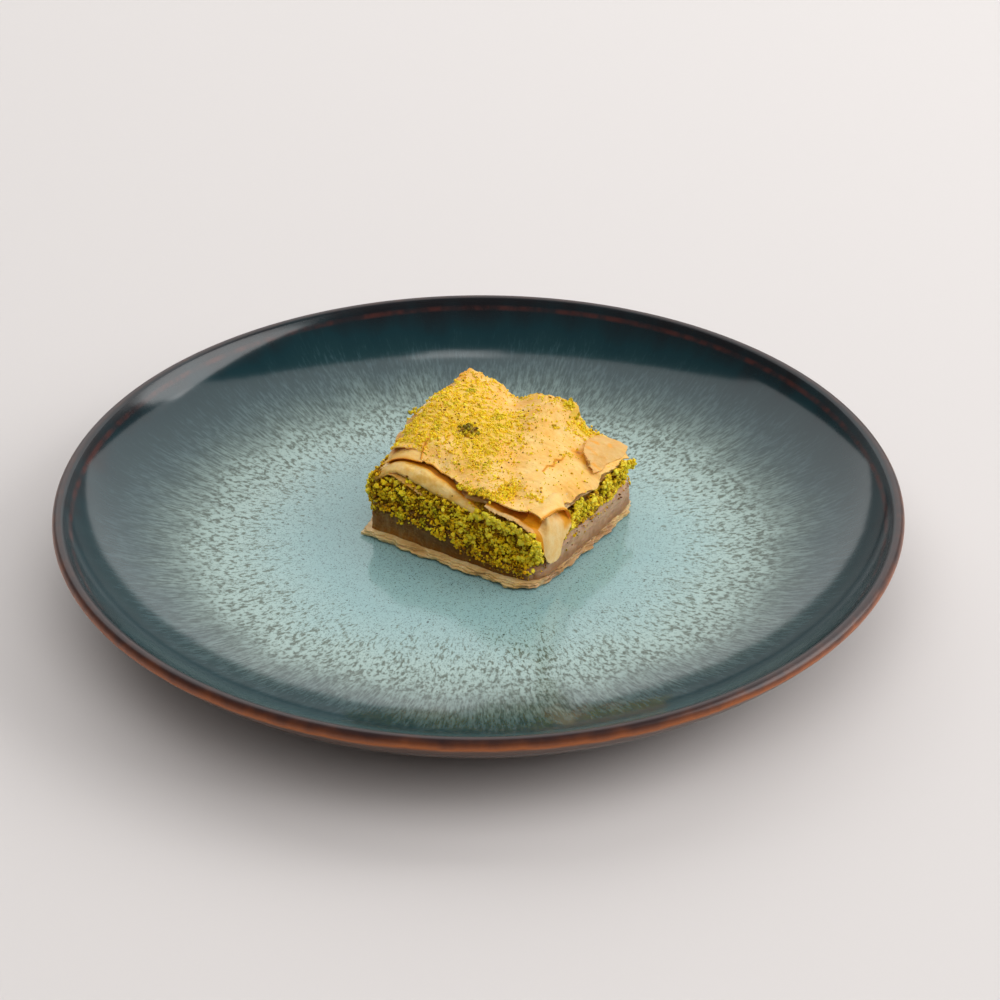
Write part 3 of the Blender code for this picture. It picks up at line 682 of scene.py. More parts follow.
def soaked_place(a, b, level):
    """A point of the soaked block, whose sides lean in a little and are rounded at the top."""
    if level in (0, SOAKED_LEVELS - 1):
        x, y = plan_point(a, b, HALF, 5.0)
        return x, y, SOAKED_LOW if level == 0 else soaked_roof(x, y)
    rise = (level - 1) / (SOAKED_LEVELS - 3)
    rounded = 1.3 * max((rise - 0.82) / 0.18, 0.0) ** 2
    x, y = plan_point(a, b, HALF, 0.35 * rise + rounded, 23.0, 0.5)
    high = soaked_roof(x, y) + 0.2
    z = SOAKED_LOW + rise * (high - SOAKED_LOW)
    groove = noise.noise(Vector((x / 9.0, y / 9.0, z / GROOVE_PITCH)))
    rough = noise.noise(Vector((x / 1.6, y / 1.6, z / 0.9)))
    out = 1.0 + (GROOVE_DEPTH * groove + ROUGH_DEPTH * rough) / HALF
    return x * out, y * out, z


def amber(x, y, z):
    """1 where the syrup is clear: at the front left corner and along the foot of the front side."""
    return clamp(max(1.1 - (x + 27.0) / 5.0, (4.6 - z) / 4.0)) if x < 21.0 else 0.0


soaked = band(SOAKED_AROUND, SOAKED_LEVELS, soaked_place)
paint(soaked, "amber", amber)
paint(soaked, "rosy", lambda x, y, z: right_side(x, y))
# Painted shade: the block darkens from its left end towards the right
paint(soaked, "front_painted_shade", lambda x, y, z: clamp((x + 16.0) / 14.0))
print("soaked block:", len(soaked.data.vertices), "corners")

# %% Soaked sheets: their finish
syrup = Finish("soaked_sheets_wet", roughness=0.5, Specular_IOR_Level=0.22, Subsurface_Weight=0.6,
               Subsurface_Scale=0.0026, Subsurface_Radius=(1.0, 0.42, 0.10), Coat_Weight=0.1,
               Coat_Roughness=0.3)
lines = syrup.stretched((420.0, 420.0, 1100.0), 5.0, 0.75)
stains = syrup.stretched((300.0, 300.0, 420.0), 3.0)
haze = syrup.stretched((850.0, 850.0, 240.0), 4.0, 0.65)
meal = syrup.noise(syrup.place, 1500.0, detail=4.0, rough=0.7)
brown_and_shade = syrup.ramp(lines, [(0.30, (0.120, 0.041, 0.003)), (0.50, (0.195, 0.076, 0.007)),
                           (0.68, (0.285, 0.128, 0.019))])
# Colours laid over the brown one after another: how much, colour. The last one is painted shade.
for amount, colour in ((syrup.step(stains, 0.40, 0.62, 0.0, 0.5), (0.150, 0.066, 0.008)),
                       (syrup.times(syrup.painted("amber"), 0.8), (0.380, 0.130, 0.003)),
                       (syrup.step(haze, 0.42, 0.66, 0.0, 0.5), (0.300, 0.190, 0.075)),
                       (syrup.step(meal, 0.52, 0.68, 0.0, 0.45), (0.520, 0.300, 0.080)),
                       (syrup.times(syrup.painted("front_painted_shade"), 0.5), (0.085, 0.031, 0.001))):
    brown_and_shade = syrup.mix(amount, brown_and_shade, colour)
# The right side is pinkish, and paler towards its top
high = syrup.math('ADD', syrup.upward(syrup.place), syrup.times(stains, 0.004))
pink = syrup.mix(syrup.step(high, 0.0115, 0.0155), (0.330, 0.160, 0.065), (0.520, 0.330, 0.200))
pink = syrup.mix(syrup.step(lines, 0.45, 0.62, 0.0, 0.5), pink, (0.300, 0.150, 0.080))
syrup.set(Base_Color=syrup.mix(syrup.painted("rosy"), brown_and_shade, pink), Normal=syrup.bump(lines, 0.00014, 0.6))
dress(soaked, "soaked_sheets_block", syrup)
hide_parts("soaked_layer")

# %% [markdown]
# The green band is ground pistachio pressed between the sheets. It is a heap of thousands of grains,
# so it is made in two parts: a lumpy core that fills the band, coloured dark as painted shade of the
# deep gaps between the grains, and grains at their true size that cover its sides. A few grains are
# modelled once, as small icospheres; the larger kinds are cut by random planes like chopped nuts. They
# are then copied, turned and sized at random. Each copy carries a shade number, which a ramp in the
# finish turns into dark skin or golden flesh, and a second number that makes it green. The shade number
# also carries painted light and shade: it is higher for a grain that stands out than for one that lies deep.

# %% Pistachio: its finish
GOLDEN = ((0.0, (0.090, 0.024, 0.0005)), (0.2, (0.360, 0.145, 0.001)), (0.4, (0.760, 0.390, 0.002)),
          (0.6, (0.940, 0.560, 0.006)), (0.8, (0.970, 0.680, 0.016)), (1.0, (0.980, 0.760, 0.060)))
FRESH = ((0.0, (0.050, 0.030, 0.001)), (0.3, (0.230, 0.190, 0.002)), (0.6, (0.570, 0.440, 0.004)),
         (1.0, (0.860, 0.700, 0.025)))
nuts = Finish("pistachio_ground", roughness=0.55, Specular_IOR_Level=0.3, Subsurface_Weight=0.4,
              Subsurface_Scale=0.0008, Subsurface_Radius=(1.0, 0.7, 0.1))
rub = nuts.noise(nuts.vector('SCALE', nuts.place, 1.0 / (0.45 * MM)), 1.0, detail=4.0, rough=0.75)
mottled = nuts.math('ADD', nuts.painted("shade"), nuts.times(nuts.math('SUBTRACT', rub, 0.5), 0.9))
nuts.set(Base_Color=nuts.mix(nuts.painted("green"), nuts.ramp(mottled, GOLDEN), nuts.ramp(mottled, FRESH)),
         Normal=nuts.bump(rub, 0.00010, 0.9))


# %% Pistachio: the core
def lumps(x, y, z, length, seed):
    """Smooth unevenness between -1 and 1 in space, which gathers the grains into clumps."""
    return noise.noise(Vector((x / length + seed, y / length, z / length)))


NUT_LEVELS, NUT_AROUND = 30, 620


def nut_core_point(a, b, rise, sink=0.0):
    """A point on the side of the band, whose sides bulge and round over at the top."""
    shoulder = 2.4 * rise ** 5 + 0.5 * (1.0 - rise) ** 3
    x, y = plan_point(a, b, HALF, 0.6 + shoulder + sink, 31.0, 1.2)
    x += 2.2 * min(a, 0.0)
    low = soaked_roof(x, y) + 0.1
    return x, y, low + rise * (nut_roof(x, y) - low)


def nut_place(a, b, level):
    """A point of the core, a little inside the band's side and lumpy."""
    if level in (0, NUT_LEVELS - 1):
        x, y = plan_point(a, b, HALF, 6.0)
        return x, y, soaked_roof(x, y) + 0.1 if level == 0 else nut_roof(x, y)
    rise = (level - 1) / (NUT_LEVELS - 3)
    x, y, z = nut_core_point(a, b, rise, 0.7)
    lump = lumps(x, y, z, 1.1, 0.0) + 0.5 * lumps(x, y, z, 0.5, 9.0)
    out = 1.0 + (0.35 * lump + 0.3 * lumps(x, y, z, 2.4, 3.0)) / HALF
    return x * out, y * out, z + 0.2 * lump


core = band(NUT_AROUND, NUT_LEVELS, nut_place)
# Painted shade: the core is coloured dark, as the deep gaps between the grains look
paint(core, "shade", lambda x, y, z: 0.20 + 0.25 * lumps(x, y, z, 1.0, 5.0))
paint(core, "green", lambda x, y, z: 0.3)
dress(core, "pistachio_core", nuts)
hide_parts("pistachio_layer")

# %% Pistachio: model grains
import numpy as np


def model_grain(cuts, seed):
    """One chopped grain of radius 1, as its corners and faces: an icosphere cut by random planes."""
    chop = random.Random(seed)
    deselect()
    bpy.ops.mesh.primitive_ico_sphere_add(subdivisions=1, radius=1.0)
    piece = bpy.context.active_object
    bpy.ops.object.mode_set(mode='EDIT')
    for _ in range(cuts):
        way = Vector([chop.gauss(0, 1) for _ in range(3)]).normalized()
        bpy.ops.mesh.select_all(action='SELECT')
        bpy.ops.mesh.bisect(plane_co=way * chop.uniform(0.45, 0.8), plane_no=way, use_fill=True,
                            clear_outer=True)
    bpy.ops.mesh.select_all(action='SELECT')
    bpy.ops.transform.vertex_random(offset=0.12, uniform=1.0, seed=seed)
    bpy.ops.mesh.quads_convert_to_tris()
    bpy.ops.mesh.normals_make_consistent(inside=False)
    bpy.ops.object.mode_set(mode='OBJECT')
    shape = np.array([vert.co for vert in piece.data.vertices])
    shape *= [chop.uniform(0.9, 1.4), chop.uniform(0.8, 1.1), chop.uniform(0.7, 1.0)]
    faces = np.array([face.vertices[:] for face in piece.data.polygons])
    bpy.data.objects.remove(piece)
    return shape, faces


coarse_grains = [model_grain(5, seed) for seed in range(8)]
middle_grains = [model_grain(3, seed) for seed in range(20, 28)]
fine_grains = [model_grain(0, seed) for seed in range(10, 16)]
for kind, models in (("coarse", coarse_grains), ("middle", middle_grains), ("fine", fine_grains)):
    print("faces of the", kind, "model grains:", [len(faces) for shape, faces in models])


# %% Pistachio: grains copied to their places
def strew(name, models, spots):
    """Copies the model grains to their spots (x, y, z, size, shade, green) as one mesh of true size."""
    draw = np.random.default_rng(len(spots))
    corners, faces, shades, greens, count = [], [], [], [], 0
    for x, y, z, size, shade, green in spots:
        shape, sides = models[draw.integers(len(models))]
        axes = np.linalg.qr(draw.normal(size=(3, 3)))[0]
        axes[:, 0] *= np.sign(np.linalg.det(axes))
        corners.append(shape @ axes.T * (size * MM) + np.array(cake_place(x, y, z)))
        faces.append(sides + count)
        shades.append(np.full(len(shape), shade))
        greens.append(np.full(len(shape), green))
        count += len(shape)
    mesh = bpy.data.meshes.new(name)
    mesh.from_pydata(np.concatenate(corners), [], np.concatenate(faces).tolist())
    for key, values in (("shade", shades), ("green", greens)):
        mesh.attributes.new(key, 'FLOAT', 'POINT').data.foreach_set("value", np.concatenate(values))
    piece = bpy.data.objects.new(name, mesh)
    bpy.context.scene.collection.objects.link(piece)
    deselect()
    piece.select_set(True)
    bpy.context.view_layer.objects.active = piece
    bpy.ops.object.shade_smooth_by_angle(angle=math.radians(28.0))
    dress(piece, name, nuts)


# %% [markdown]
# The grains thin out below the band, where some have fallen onto the soaked sheets. Grains gather in
# clumps, with dark gaps between them. A grain that stands out is painted lighter than one that lies deep,
# and the large grains get painted light while the small ones in the gaps get painted shade.

# %% Pistachio: grains on the four sides
draw = random.Random(41)


def grain_colour(x, y, z, deep, painted_light=0.0):
    """Shade and green of a grain, with painted light where it stands out and painted shade where it lies
    deep; greener in some clumps.
    """
    # Painted light and shade: on the front, grains grow lighter and more golden to the right, and darker and
    # greener to the left
    golden_and_lit = clamp((x + 4.0) / 14.0, -0.4) if y < -20.0 else 0.0
    shade = draw.gauss(0.40 + painted_light + 0.13 * golden_and_lit + 0.30 * deep + 0.34 * lumps(x, y, z, 2.6, 7.0), 0.18)
    green = 0.12 - 0.25 * golden_and_lit + 1.3 * lumps(x, y, z, 3.4, 11.0) + draw.gauss(0.0, 0.15)
    return clamp(shade, 0.03, 0.97), clamp(green)


# How far grains fall below the band, and how hollow a place is that only small grains fill
FALL, HOLLOW = 8.0, -0.32


def side_spots(count, small, large, below, painted_light):
    """Spots for grains on the band's sides, and for those that fell below it."""
    found = []
    while len(found) < count:
        turn = draw.random()
        a, b = square_point(turn)
        rise = draw.uniform(-below, 1.0)
        size = draw.uniform(small, large) if draw.random() < 0.6 else small
        if rise < 0.0:
            if draw.random() < -rise / below or (a > 0.95 and draw.random() < 0.85):
                continue
            x, y = plan_point(a, b, HALF, 0.1, 23.0, 0.5)
            z = soaked_roof(x, y) + rise * FALL
        else:
            x, y, z = nut_core_point(a, b, rise)
        behind_draped_sheet = x > 23.2 and -20.0 < y < -10.5 and z > 5.5
        if behind_draped_sheet:
            continue
        clump = 0.7 * lumps(x, y, z, 2.4, 3.0) + 0.8 * lumps(x, y, z, 1.2, 15.0)
        if rise > 0.1 and clump < HOLLOW and size > 0.22:
            continue
        stands_out = draw.uniform(-0.35, 0.75)
        out = 1.0 + (stands_out * size + 0.7 * clump * clamp(rise * 4.0)) / HALF
        found.append((x * out, y * out, z, size, *grain_colour(x, y, z, stands_out + 1.1 * clump, painted_light)))
    return found


# Each kind: how many, smallest, largest, how far below the band they fall, how much painted light they get
# (below 0, painted shade)
for name, models, spots in (("pistachio_grains_large", coarse_grains, (1050, 0.42, 0.84, 0.05, 0.20)),
                            ("pistachio_grains_medium", middle_grains, (4000, 0.24, 0.46, 0.14, -0.02)),
                            ("pistachio_grains_small", fine_grains, (9900, 0.12, 0.27, 0.42, -0.16))):
    strew(name, models, side_spots(*spots))

# %% [markdown]
# The pastry on top has puffed up. Under the top sheet lie more sheets, loosely stacked, whose edges
# show at the sides. They are one closed core, for what fills the space, with thin leaves that stick
# out of it by different amounts.

# %% Pastry: finishes
CREAM, PEACH, AMBER = (0.88, 0.68, 0.40), (0.86, 0.56, 0.21), (0.70, 0.30, 0.035)
leaf_finish = pastry_finish("pastry_leaves", [(0.30, AMBER), (0.45, PEACH), (0.65, CREAM)], 2.4)
level_lines = leaf_finish.step(leaf_finish.stretched((130.0, 130.0, 1700.0)), 0.42, 0.54, 0.75, 0.0)
leaf_finish.set(Base_Color=leaf_finish.mix(level_lines, leaf_finish.colour, (0.52, 0.21, 0.03)))

# %% Pastry: core
# Rings of the core and of one leaf: rise, distance from the edge
CORE_RINGS = ((0.0, 6.0), (0.0, 0.4), (0.15, 0.0), (0.35, 0.1), (0.5, 0.0), (0.65, 0.1), (0.85, 0.1),
              (1.0, 0.5), (1.0, 2.0), (1.0, 4.0), (1.0, 6.5), (1.0, 9.0))
THIN_RINGS = ((-0.5, 7.0), (-0.5, 1.0), (-0.3, 0.05), (0.3, 0.0), (0.5, 0.9), (0.5, 7.0))
STACK_AROUND, LEAVES = 500, 8
# Where the core gives way to the hollows under the lifted sheet: middle, spreads, depth
HOLLOWS = ((18.5, -23.0, 6.0, 3.6, 3.4), (25.0, -15.0, 3.4, 4.5, 3.6), (25.5, 3.0, 1.8, 5.0, 2.0),
           (-12.0, -24.0, 14.0, 3.0, 1.6))
# How far the core stays below the top sheet, and how long and deep the gap at the front is
CORE_COVER, GAP_LENGTH, GAP_DEPTH = 0.6, 6.0, 2.6


def core_roof(x, y):
    """Upper face of the core: inside the top sheet, and below the gap at the front."""
    covered = sheet_height(x, y) - CORE_COVER
    past_edge = y - sheet_front(x)
    floor = nut_roof(x, y) + 0.5
    if past_edge < GAP_LENGTH:
        covered -= GAP_DEPTH * (1.0 - past_edge / GAP_LENGTH)
    return max(covered - swell(x, y, HOLLOWS), floor)


def core_point(a, b, inset, seed, uneven, fray):
    """A point of the stack's outline, which ends at the front where the inner sheets do."""
    x, y = plan_point(a, b, HALF, 0.9 + inset + 0.9 * max(a, 0.0) ** 4, seed, uneven, fray)
    front = inner_front(x) + 1.0
    return x, front + (y + HALF) / (2.0 * HALF) * (HALF - 0.9 - front)


def core_place(a, b, level):
    """A point of the closed core, from the nuts up to its roof."""
    rise, inset = CORE_RINGS[level]
    x, y = core_point(a, b, inset + 0.5, 43.0, 0.8, 0.2)
    low = nut_roof(x, y)
    return x, y, low + rise * (core_roof(x, y) - 0.15 - low)


# %% Pastry: leaves
def leaf_place(number):
    """The shape of one thin leaf of the stack, counted from the nuts up."""
    reach = draw.uniform(-0.5, 0.5)

    def place(a, b, level):
        rise, inset = THIN_RINGS[level]
        x, y = core_point(a, b, inset + 0.3 - reach, 50.0 + number, 1.0, 0.35)
        low = nut_roof(x, y)
        z = low + (number + 0.5) / LEAVES * (core_roof(x, y) - low)
        lift = 0.3 * wave(x, y, 4.0, 60.0 + number) + 0.15 * wave(x, y, 1.5, 70.0 + number)
        return x, y, z + 0.3 * rise + lift * math.exp(-inset)
    return place


draw = random.Random(8)
stack = [band(STACK_AROUND, len(CORE_RINGS), core_place)]
stack += [band(STACK_AROUND, len(THIN_RINGS), leaf_place(number)) for number in range(LEAVES)]
leaves = join(stack)
dress(leaves, "pastry_leaves_stack", leaf_finish)
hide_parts("top_pastry")

# %% [markdown]
# The top sheet is one very thin leaf. It has soft wrinkles, a torn rim and a lifted front edge. A crack
# and a tear are steps in its height: one side stands a little above the other, and both are darkened
# along their line through a painted number, as painted shade in the step. On the right its rim sinks
# where it hangs over the side, and stands up as an arch near the front corner.

# %% Top sheet: cracks
CRACK = ((13.9, -4.6), (13.4, -1.6), (14.3, -0.4), (13.3, 2.4), (14.3, 3.4), (13.9, 5.6))
TEAR = ((-13.8, -18.8), (-14.4, -17.0), (-15.3, -13.9), (-16.2, -10.8), (-16.8, -7.8))
for title, line in (("crack", CRACK), ("tear", TEAR)):
    print(title, "is", round(sum(math.dist(p, q) for p, q in zip(line, line[1:])), 1), "mm long")


def off_line(x, y, line):
    """Signed distance from a line of points, and how far the nearest point lies along it, 0 to 1."""
    best, side, along = 1e9, 1.0, 0.0
    for number, ((u, v), (p, q)) in enumerate(zip(line, line[1:])):
        run_x, run_y = p - u, q - v
        part = ((x - u) * run_x + (y - v) * run_y) / (run_x ** 2 + run_y ** 2)
        held = clamp(part)
        gap = math.hypot(x - u - held * run_x, y - v - held * run_y)
        if gap < best:
            best, along = gap, (number + held) / (len(line) - 1)
            side = 1.0 if run_x * (y - v) - run_y * (x - u) > 0.0 else -1.0
    return best * side, along


# %% Top sheet: its shape
# How far the rim sinks on the right and on the left, by y
RIGHT_DROP = ((-24.7, 0.6), (-18, 0.5), (-12.6, 1.0), (-10.2, 2.2), (-8.0, 2.6), (-6, 1.8), (-4, 1.4),
              (-1, 2.2), (2.5, 2.6), (4.6, 2.0), (6.5, 0.6), (9, 0.3), (16, 0.5), (25, 0.8))
LEFT_DROP = ((-24.7, 1.6), (2, 2.0), (12, 2.0), (18, 1.2), (24.7, 0.7))
TOP_INSET, TOP_THICKNESS, LIP_HEIGHT = 0.2, 0.34, 0.3
TEAR_STEP, CRACK_STEP = 0.32, 0.16
# Left of the tear the front edge stands back: where that starts, and by how much
NOTCH_X, NOTCH_DEPTH = -14.1, 1.2


def top_detail(x, y):
    """Fine relief of the top sheet: wrinkles, and the steps at the tear and the crack."""
    relief = 0.24 * wave(x, y, 2.6, 12.0) + 0.11 * wave(x, y, 1.1, 13.0) + 0.04 * wave(x, y, 0.5, 14.0)
    gap, along = off_line(x, y, TEAR)
    step = TEAR_STEP * math.sin(math.pi * min(along + 0.35, 1.0)) if along < 1.0 else 0.0
    relief -= math.copysign(step, gap) * math.exp(-abs(gap) / 1.8) * min(abs(gap) / 0.2, 1.0)
    gap, along = off_line(x, y, CRACK)
    return relief + math.copysign(CRACK_STEP * math.sin(math.pi * along), gap) * math.exp(-abs(gap) / 1.6)


def top_place(a, b):
    """A point of the top sheet, with its sunken rim and its torn, lifted front edge."""
    x, y = plan_point(a, b, HALF, TOP_INSET + 0.5 * max(a, 0.0), 53.0, 1.2, 0.4)
    sink = between(y, RIGHT_DROP if a > 0.0 else LEFT_DROP)
    x += 0.22 * sink * max(a, 0.0) ** 14 - 1.3 * max(a, 0.0) ** 6 * clamp((-4.5 - y) / 5.0)
    front = sheet_front(x) + 0.35 * wave(x, 0.0, 3.0, 80.0) + 0.15 * wave(x, 0.0, 1.0, 81.0)
    front += NOTCH_DEPTH / (1.0 + math.exp((x - NOTCH_X) / 0.12)) - 0.5 * math.exp(-((x + 13.0) / 4.0) ** 2)
    y = front + (y + HALF) / (2.0 * HALF) * (HALF - TOP_INSET - front)
    lip = LIP_HEIGHT * math.exp(-(y - front) / 0.8) * (0.4 + wave(x, 0.0, 4.0, 82.0))
    rim = sink * abs(a) ** 12 + 0.5 * max(b, 0.0) ** 14
    return x, y, sheet_height(x, y) - rim + top_detail(x, y) + lip


top_sheet = sheet(215, 215, top_place, TOP_THICKNESS)
print("top sheet:", len(top_sheet.data.vertices), "corners")

# %% Top sheet: where it is dusted
# Where ground nuts lie: middle, spreads in x and y, how thickly
DUST = ((-24, -8, 3, 7, 1.0), (-25, 3, 2.5, 6, 0.8), (-20.5, -1.5, 4, 4, 0.9), (-20, -9, 4, 3.5, 0.8),
        (-21, 12, 5, 5, 0.5), (-21, 21, 4, 3, 0.3), (-17, 12, 3, 4, 0.4), (-13, 1, 5, 4, 0.9),
        (-10.7, 5, 3, 3, 0.8), (-9.2, -4, 2.4, 2.4, 1.0), (-5, 5, 5, 5, 0.8), (-4, 12, 3, 3, 0.4),
        (-4, -10, 5, 4, 0.55), (1, -13, 4, 2.5, 0.5), (-1.8, -4.9, 3, 3, 0.6), (11.5, -16, 1.8, 2.0, 1.1),
        (10.4, -13.1, 1.2, 1.5, 0.6), (18.4, -15, 2, 1.2, 0.6), (14.1, 6.6, 0.8, 1.0, 0.8),
        (3, 1, 1.5, 1.5, 0.4), (-16, -11, 3, 2, 0.6), (-8, 24, 4, 1.5, 0.5), (1, 21.5, 2.5, 1, 0.5),
        (5.6, 22.4, 2, 1.5, 1.0), (9, 18.5, 2, 2, 0.7), (12, 21.5, 3, 1.8, 0.7), (6.3, 12.9, 0.7, 0.7, 0.8),
        (4, -20.5, 4, 1.0, 0.9), (9, -21.5, 2.0, 1.2, 1.0))


def dusted(x, y):
    """How thickly ground nuts lie at a point of the top: none is 0, a full cover is 1."""
    return min(0.04 + swell(x, y, DUST), 1.0)


paint(top_sheet, "dust", lambda x, y, z: dusted(x, y))
print("dusting left and right of the middle:", round(dusted(-13, 1), 2), round(dusted(13, 1), 2))

# %% Top sheet: where it is browner, and its painted shade
# Spots: middle, spreads in x and y, how strong. The first four are painted shadow in the pocket under the
# loose flake's lifted left edge; the last lies on the right rim.
SHADOW_AND_BROWN_SPOTS = ((14.6, 10.0, 1.1, 0.8, 0.55), (16.4, 9.4, 1.3, 1.1, 0.45), (18.6, 7.6, 1.6, 0.9, 0.45),
               (15.2, 12.0, 0.7, 1.6, 0.4), (24.6, -9.4, 0.8, 1.4, 0.5))


def browning_and_shade(x, y, z):
    """Where the sheet is browner, at its rim and its front edge, and where shade is painted: in a few spots,
    mostly under the loose flake's lifted edge, and along the crack and the tear.
    """
    rim = 4.0 * max(max(abs(x), y) / HALF - 0.97, 0.0)
    front = math.exp(-max(y - sheet_front(x), 0.0) / 0.3)
    lines = swell(x, y, SHADOW_AND_BROWN_SPOTS)
    # Painted shade along the crack and the tear
    for line, width in ((CRACK, 0.28), (TEAR, 0.50)):
        gap, along = off_line(x, y, line)
        lines = max(lines, 0.9 * math.exp(-(gap / width) ** 2))
    return min(rim + 0.35 * front + lines, 1.0)


paint(top_sheet, "brown_and_shade", browning_and_shade)

# %% [markdown]
# A baked sheet is nowhere one colour. Its finish lays soft patches of three yellows first, then fine
# pores, the powder of the nuts where the dusting is thick, and last the browner lines and the painted
# shade. The powder and the lines are numbers painted on the mesh, because they belong to places on this
# sheet. The other sheets of the top share the recipe in paler and warmer colours, and carry their own
# painted shade in the same number.

# %% Top sheet: its finish
def sheet_finish(name, pale, warm, deep, patches=0.16, soft=0.35):
    """Thin baked sheet: three colours in soft patches, pores, powder, and browner lines with painted shade.
    """
    made = Finish(name, roughness=0.5, Specular_IOR_Level=0.3, Subsurface_Weight=soft,
                  Subsurface_Scale=0.0014, Subsurface_Radius=(1.0, 0.5, 0.2))
    spots = made.vector('SCALE', made.place, 1.0 / MM)
    brown_and_shade = made.painted("brown_and_shade")
    broad = made.noise(spots, patches, detail=4.0, rough=0.6)
    colour = made.ramp(broad, [(0.35, pale), (0.5, warm), (0.65, deep)])
    pores = made.noise(spots, 1.4, detail=4.0, rough=0.65)
    colour = made.mix(made.step(pores, 0.50, 0.78, 0.0, 0.40), colour, (0.84, 0.40, 0.05))
    powder = made.noise(spots, 0.9, detail=5.0, rough=0.7)
    cover = made.math('ADD', powder, made.times(made.painted("dust"), 0.30))
    colour = made.mix(made.step(cover, 0.64, 0.74, 0.0, 0.8), colour, (0.83, 0.50, 0.045))
    # Browning and painted shade from the painted number: orange first, dark brown where it is strongest
    colour = made.mix(made.step(brown_and_shade, 0.0, 0.6), colour, (0.86, 0.33, 0.008))
    colour = made.mix(made.step(brown_and_shade, 0.55, 1.0), colour, (0.42, 0.13, 0.006))
    made.set(Base_Color=colour, Normal=made.bump(pores, 0.00016, 0.7))
    return made


top_finish = sheet_finish("top_sheet_baked", (0.94, 0.58, 0.20), (0.94, 0.51, 0.135), (0.92, 0.45, 0.09))
dress(top_sheet, "top_sheet_puffed", top_finish)

# %% [markdown]
# Under the lifted front edge more sheets show. On the left a pale one curves down like a ribbon, with
# the thin edge of a second one below it, and a third peeps out left of the tear. On the right a peach
# one sinks into a hollow, turns over the front corner and hangs down the side. These shapes are too
# particular for a formula, so each is a sheet laid through rows of points, from its hidden root to its
# free edge. The points were chosen one by one, and moved until the sheet lay as in the photograph.

# %% Inner sheets: ribbon
inner_finish = sheet_finish("inner_sheets", (0.92, 0.60, 0.24), (0.87, 0.51, 0.15), (0.78, 0.40, 0.07),
                            patches=0.35)


def inner_sheet(name, finish, brown_and_shade, rows, **settings):
    """Makes one inner sheet through rows of points; its third argument tells, at x, y and z, how much
    browning and painted shade it has.
    """
    made = laid_sheet(rows, **settings)
    paint(made, "dust", lambda x, y, z: 0.0)
    paint(made, "brown_and_shade", brown_and_shade)
    dress(made, name, finish)


def ribbon_painted_shadow(x, y, z):
    """Painted shadow at the root, where the top sheet shades it; the root lies nearer on the right."""
    return 0.95 * math.exp(-max(-18.6 - y - 0.17 * max(x + 12.0, 0.0), 0.0) / 0.4)


RIBBON = (((-25.5, -16, 16.5), (-22.5, -15.5, 18.4), (-18, -15, 20.4), (-12, -15, 20.6),
           (-6, -16, 19.6), (0, -17.5, 18.2), (6.5, -19.5, 16.4)),
          ((-26, -19, 15.6), (-22.8, -18.6, 18.2), (-18, -18.6, 20.4), (-12, -18.9, 20.6),
           (-6, -20.1, 19.7), (0, -21.6, 18.2), (6.5, -22.2, 16.4)),
          ((-26.2, -20.8, 15.2), (-22.8, -20.8, 18), (-18, -20.8, 20.5), (-12, -20.9, 20.3),
           (-6, -21.6, 19.2), (0, -22.5, 18), (6.5, -22.9, 16.2)),
          ((-26, -22.2, 14.4), (-22.6, -22.5, 17.1), (-18, -22.4, 19.8), (-12, -22.4, 18.9),
           (-6, -22.7, 17.8), (0, -23.1, 17.3), (6.5, -23.2, 15.9)),
          ((-25.8, -22.4, 13.8), (-22.4, -22.6, 16.4), (-18, -22.3, 19.3), (-12, -22.2, 18.3),
           (-6, -22.6, 17.2), (0, -23, 16.8), (6.5, -23.1, 15.6)))
inner_sheet("inner_sheet_ribbon", inner_finish, ribbon_painted_shadow, RIBBON, across=140, along=36,
            thickness=0.26, seed=91.0, ripple=0.26, fray=0.35)

# %% Inner sheets: two more
SECOND = (((-24, -18, 16.2), (-20, -18, 18.2), (-16, -18, 18.8), (-12, -18.5, 17.6), (-8, -19, 16.5)),
          ((-24.5, -21, 15.4), (-20.5, -21.5, 18.2), (-16.5, -21.8, 18.4), (-13, -22, 17.2),
           (-8, -21.6, 16)),
          ((-24.5, -22.6, 14.4), (-21, -23, 17.7), (-18.4, -23.2, 18.5), (-15, -23.2, 17.3),
           (-10, -23.3, 15.6)))
THIRD = (((-25.6, -13.5, 17), (-22, -13.5, 20.6), (-18, -13.5, 22.2), (-13, -13.5, 22.4)),
         ((-25.6, -16.5, 16.8), (-22, -16.4, 20.2), (-18, -16.4, 21.9), (-13, -16.4, 22.3)),
         ((-25.4, -18.2, 16.4), (-22, -18.6, 19.5), (-18, -18.7, 21.3), (-13, -18.4, 21.8)))
inner_sheet("inner_sheet_second", inner_finish, lambda x, y, z: 0.25, SECOND, across=90, along=24,
            thickness=0.25, seed=95.0, ripple=0.25)
# The third sheet gets painted shadow along its front edge, under the top sheet's left piece
inner_sheet("inner_sheet_third", top_finish, lambda x, y, z: 0.7 * math.exp(-(y + 18.6) / 0.35), THIRD,
            across=80, along=24, thickness=0.28, seed=99.0)

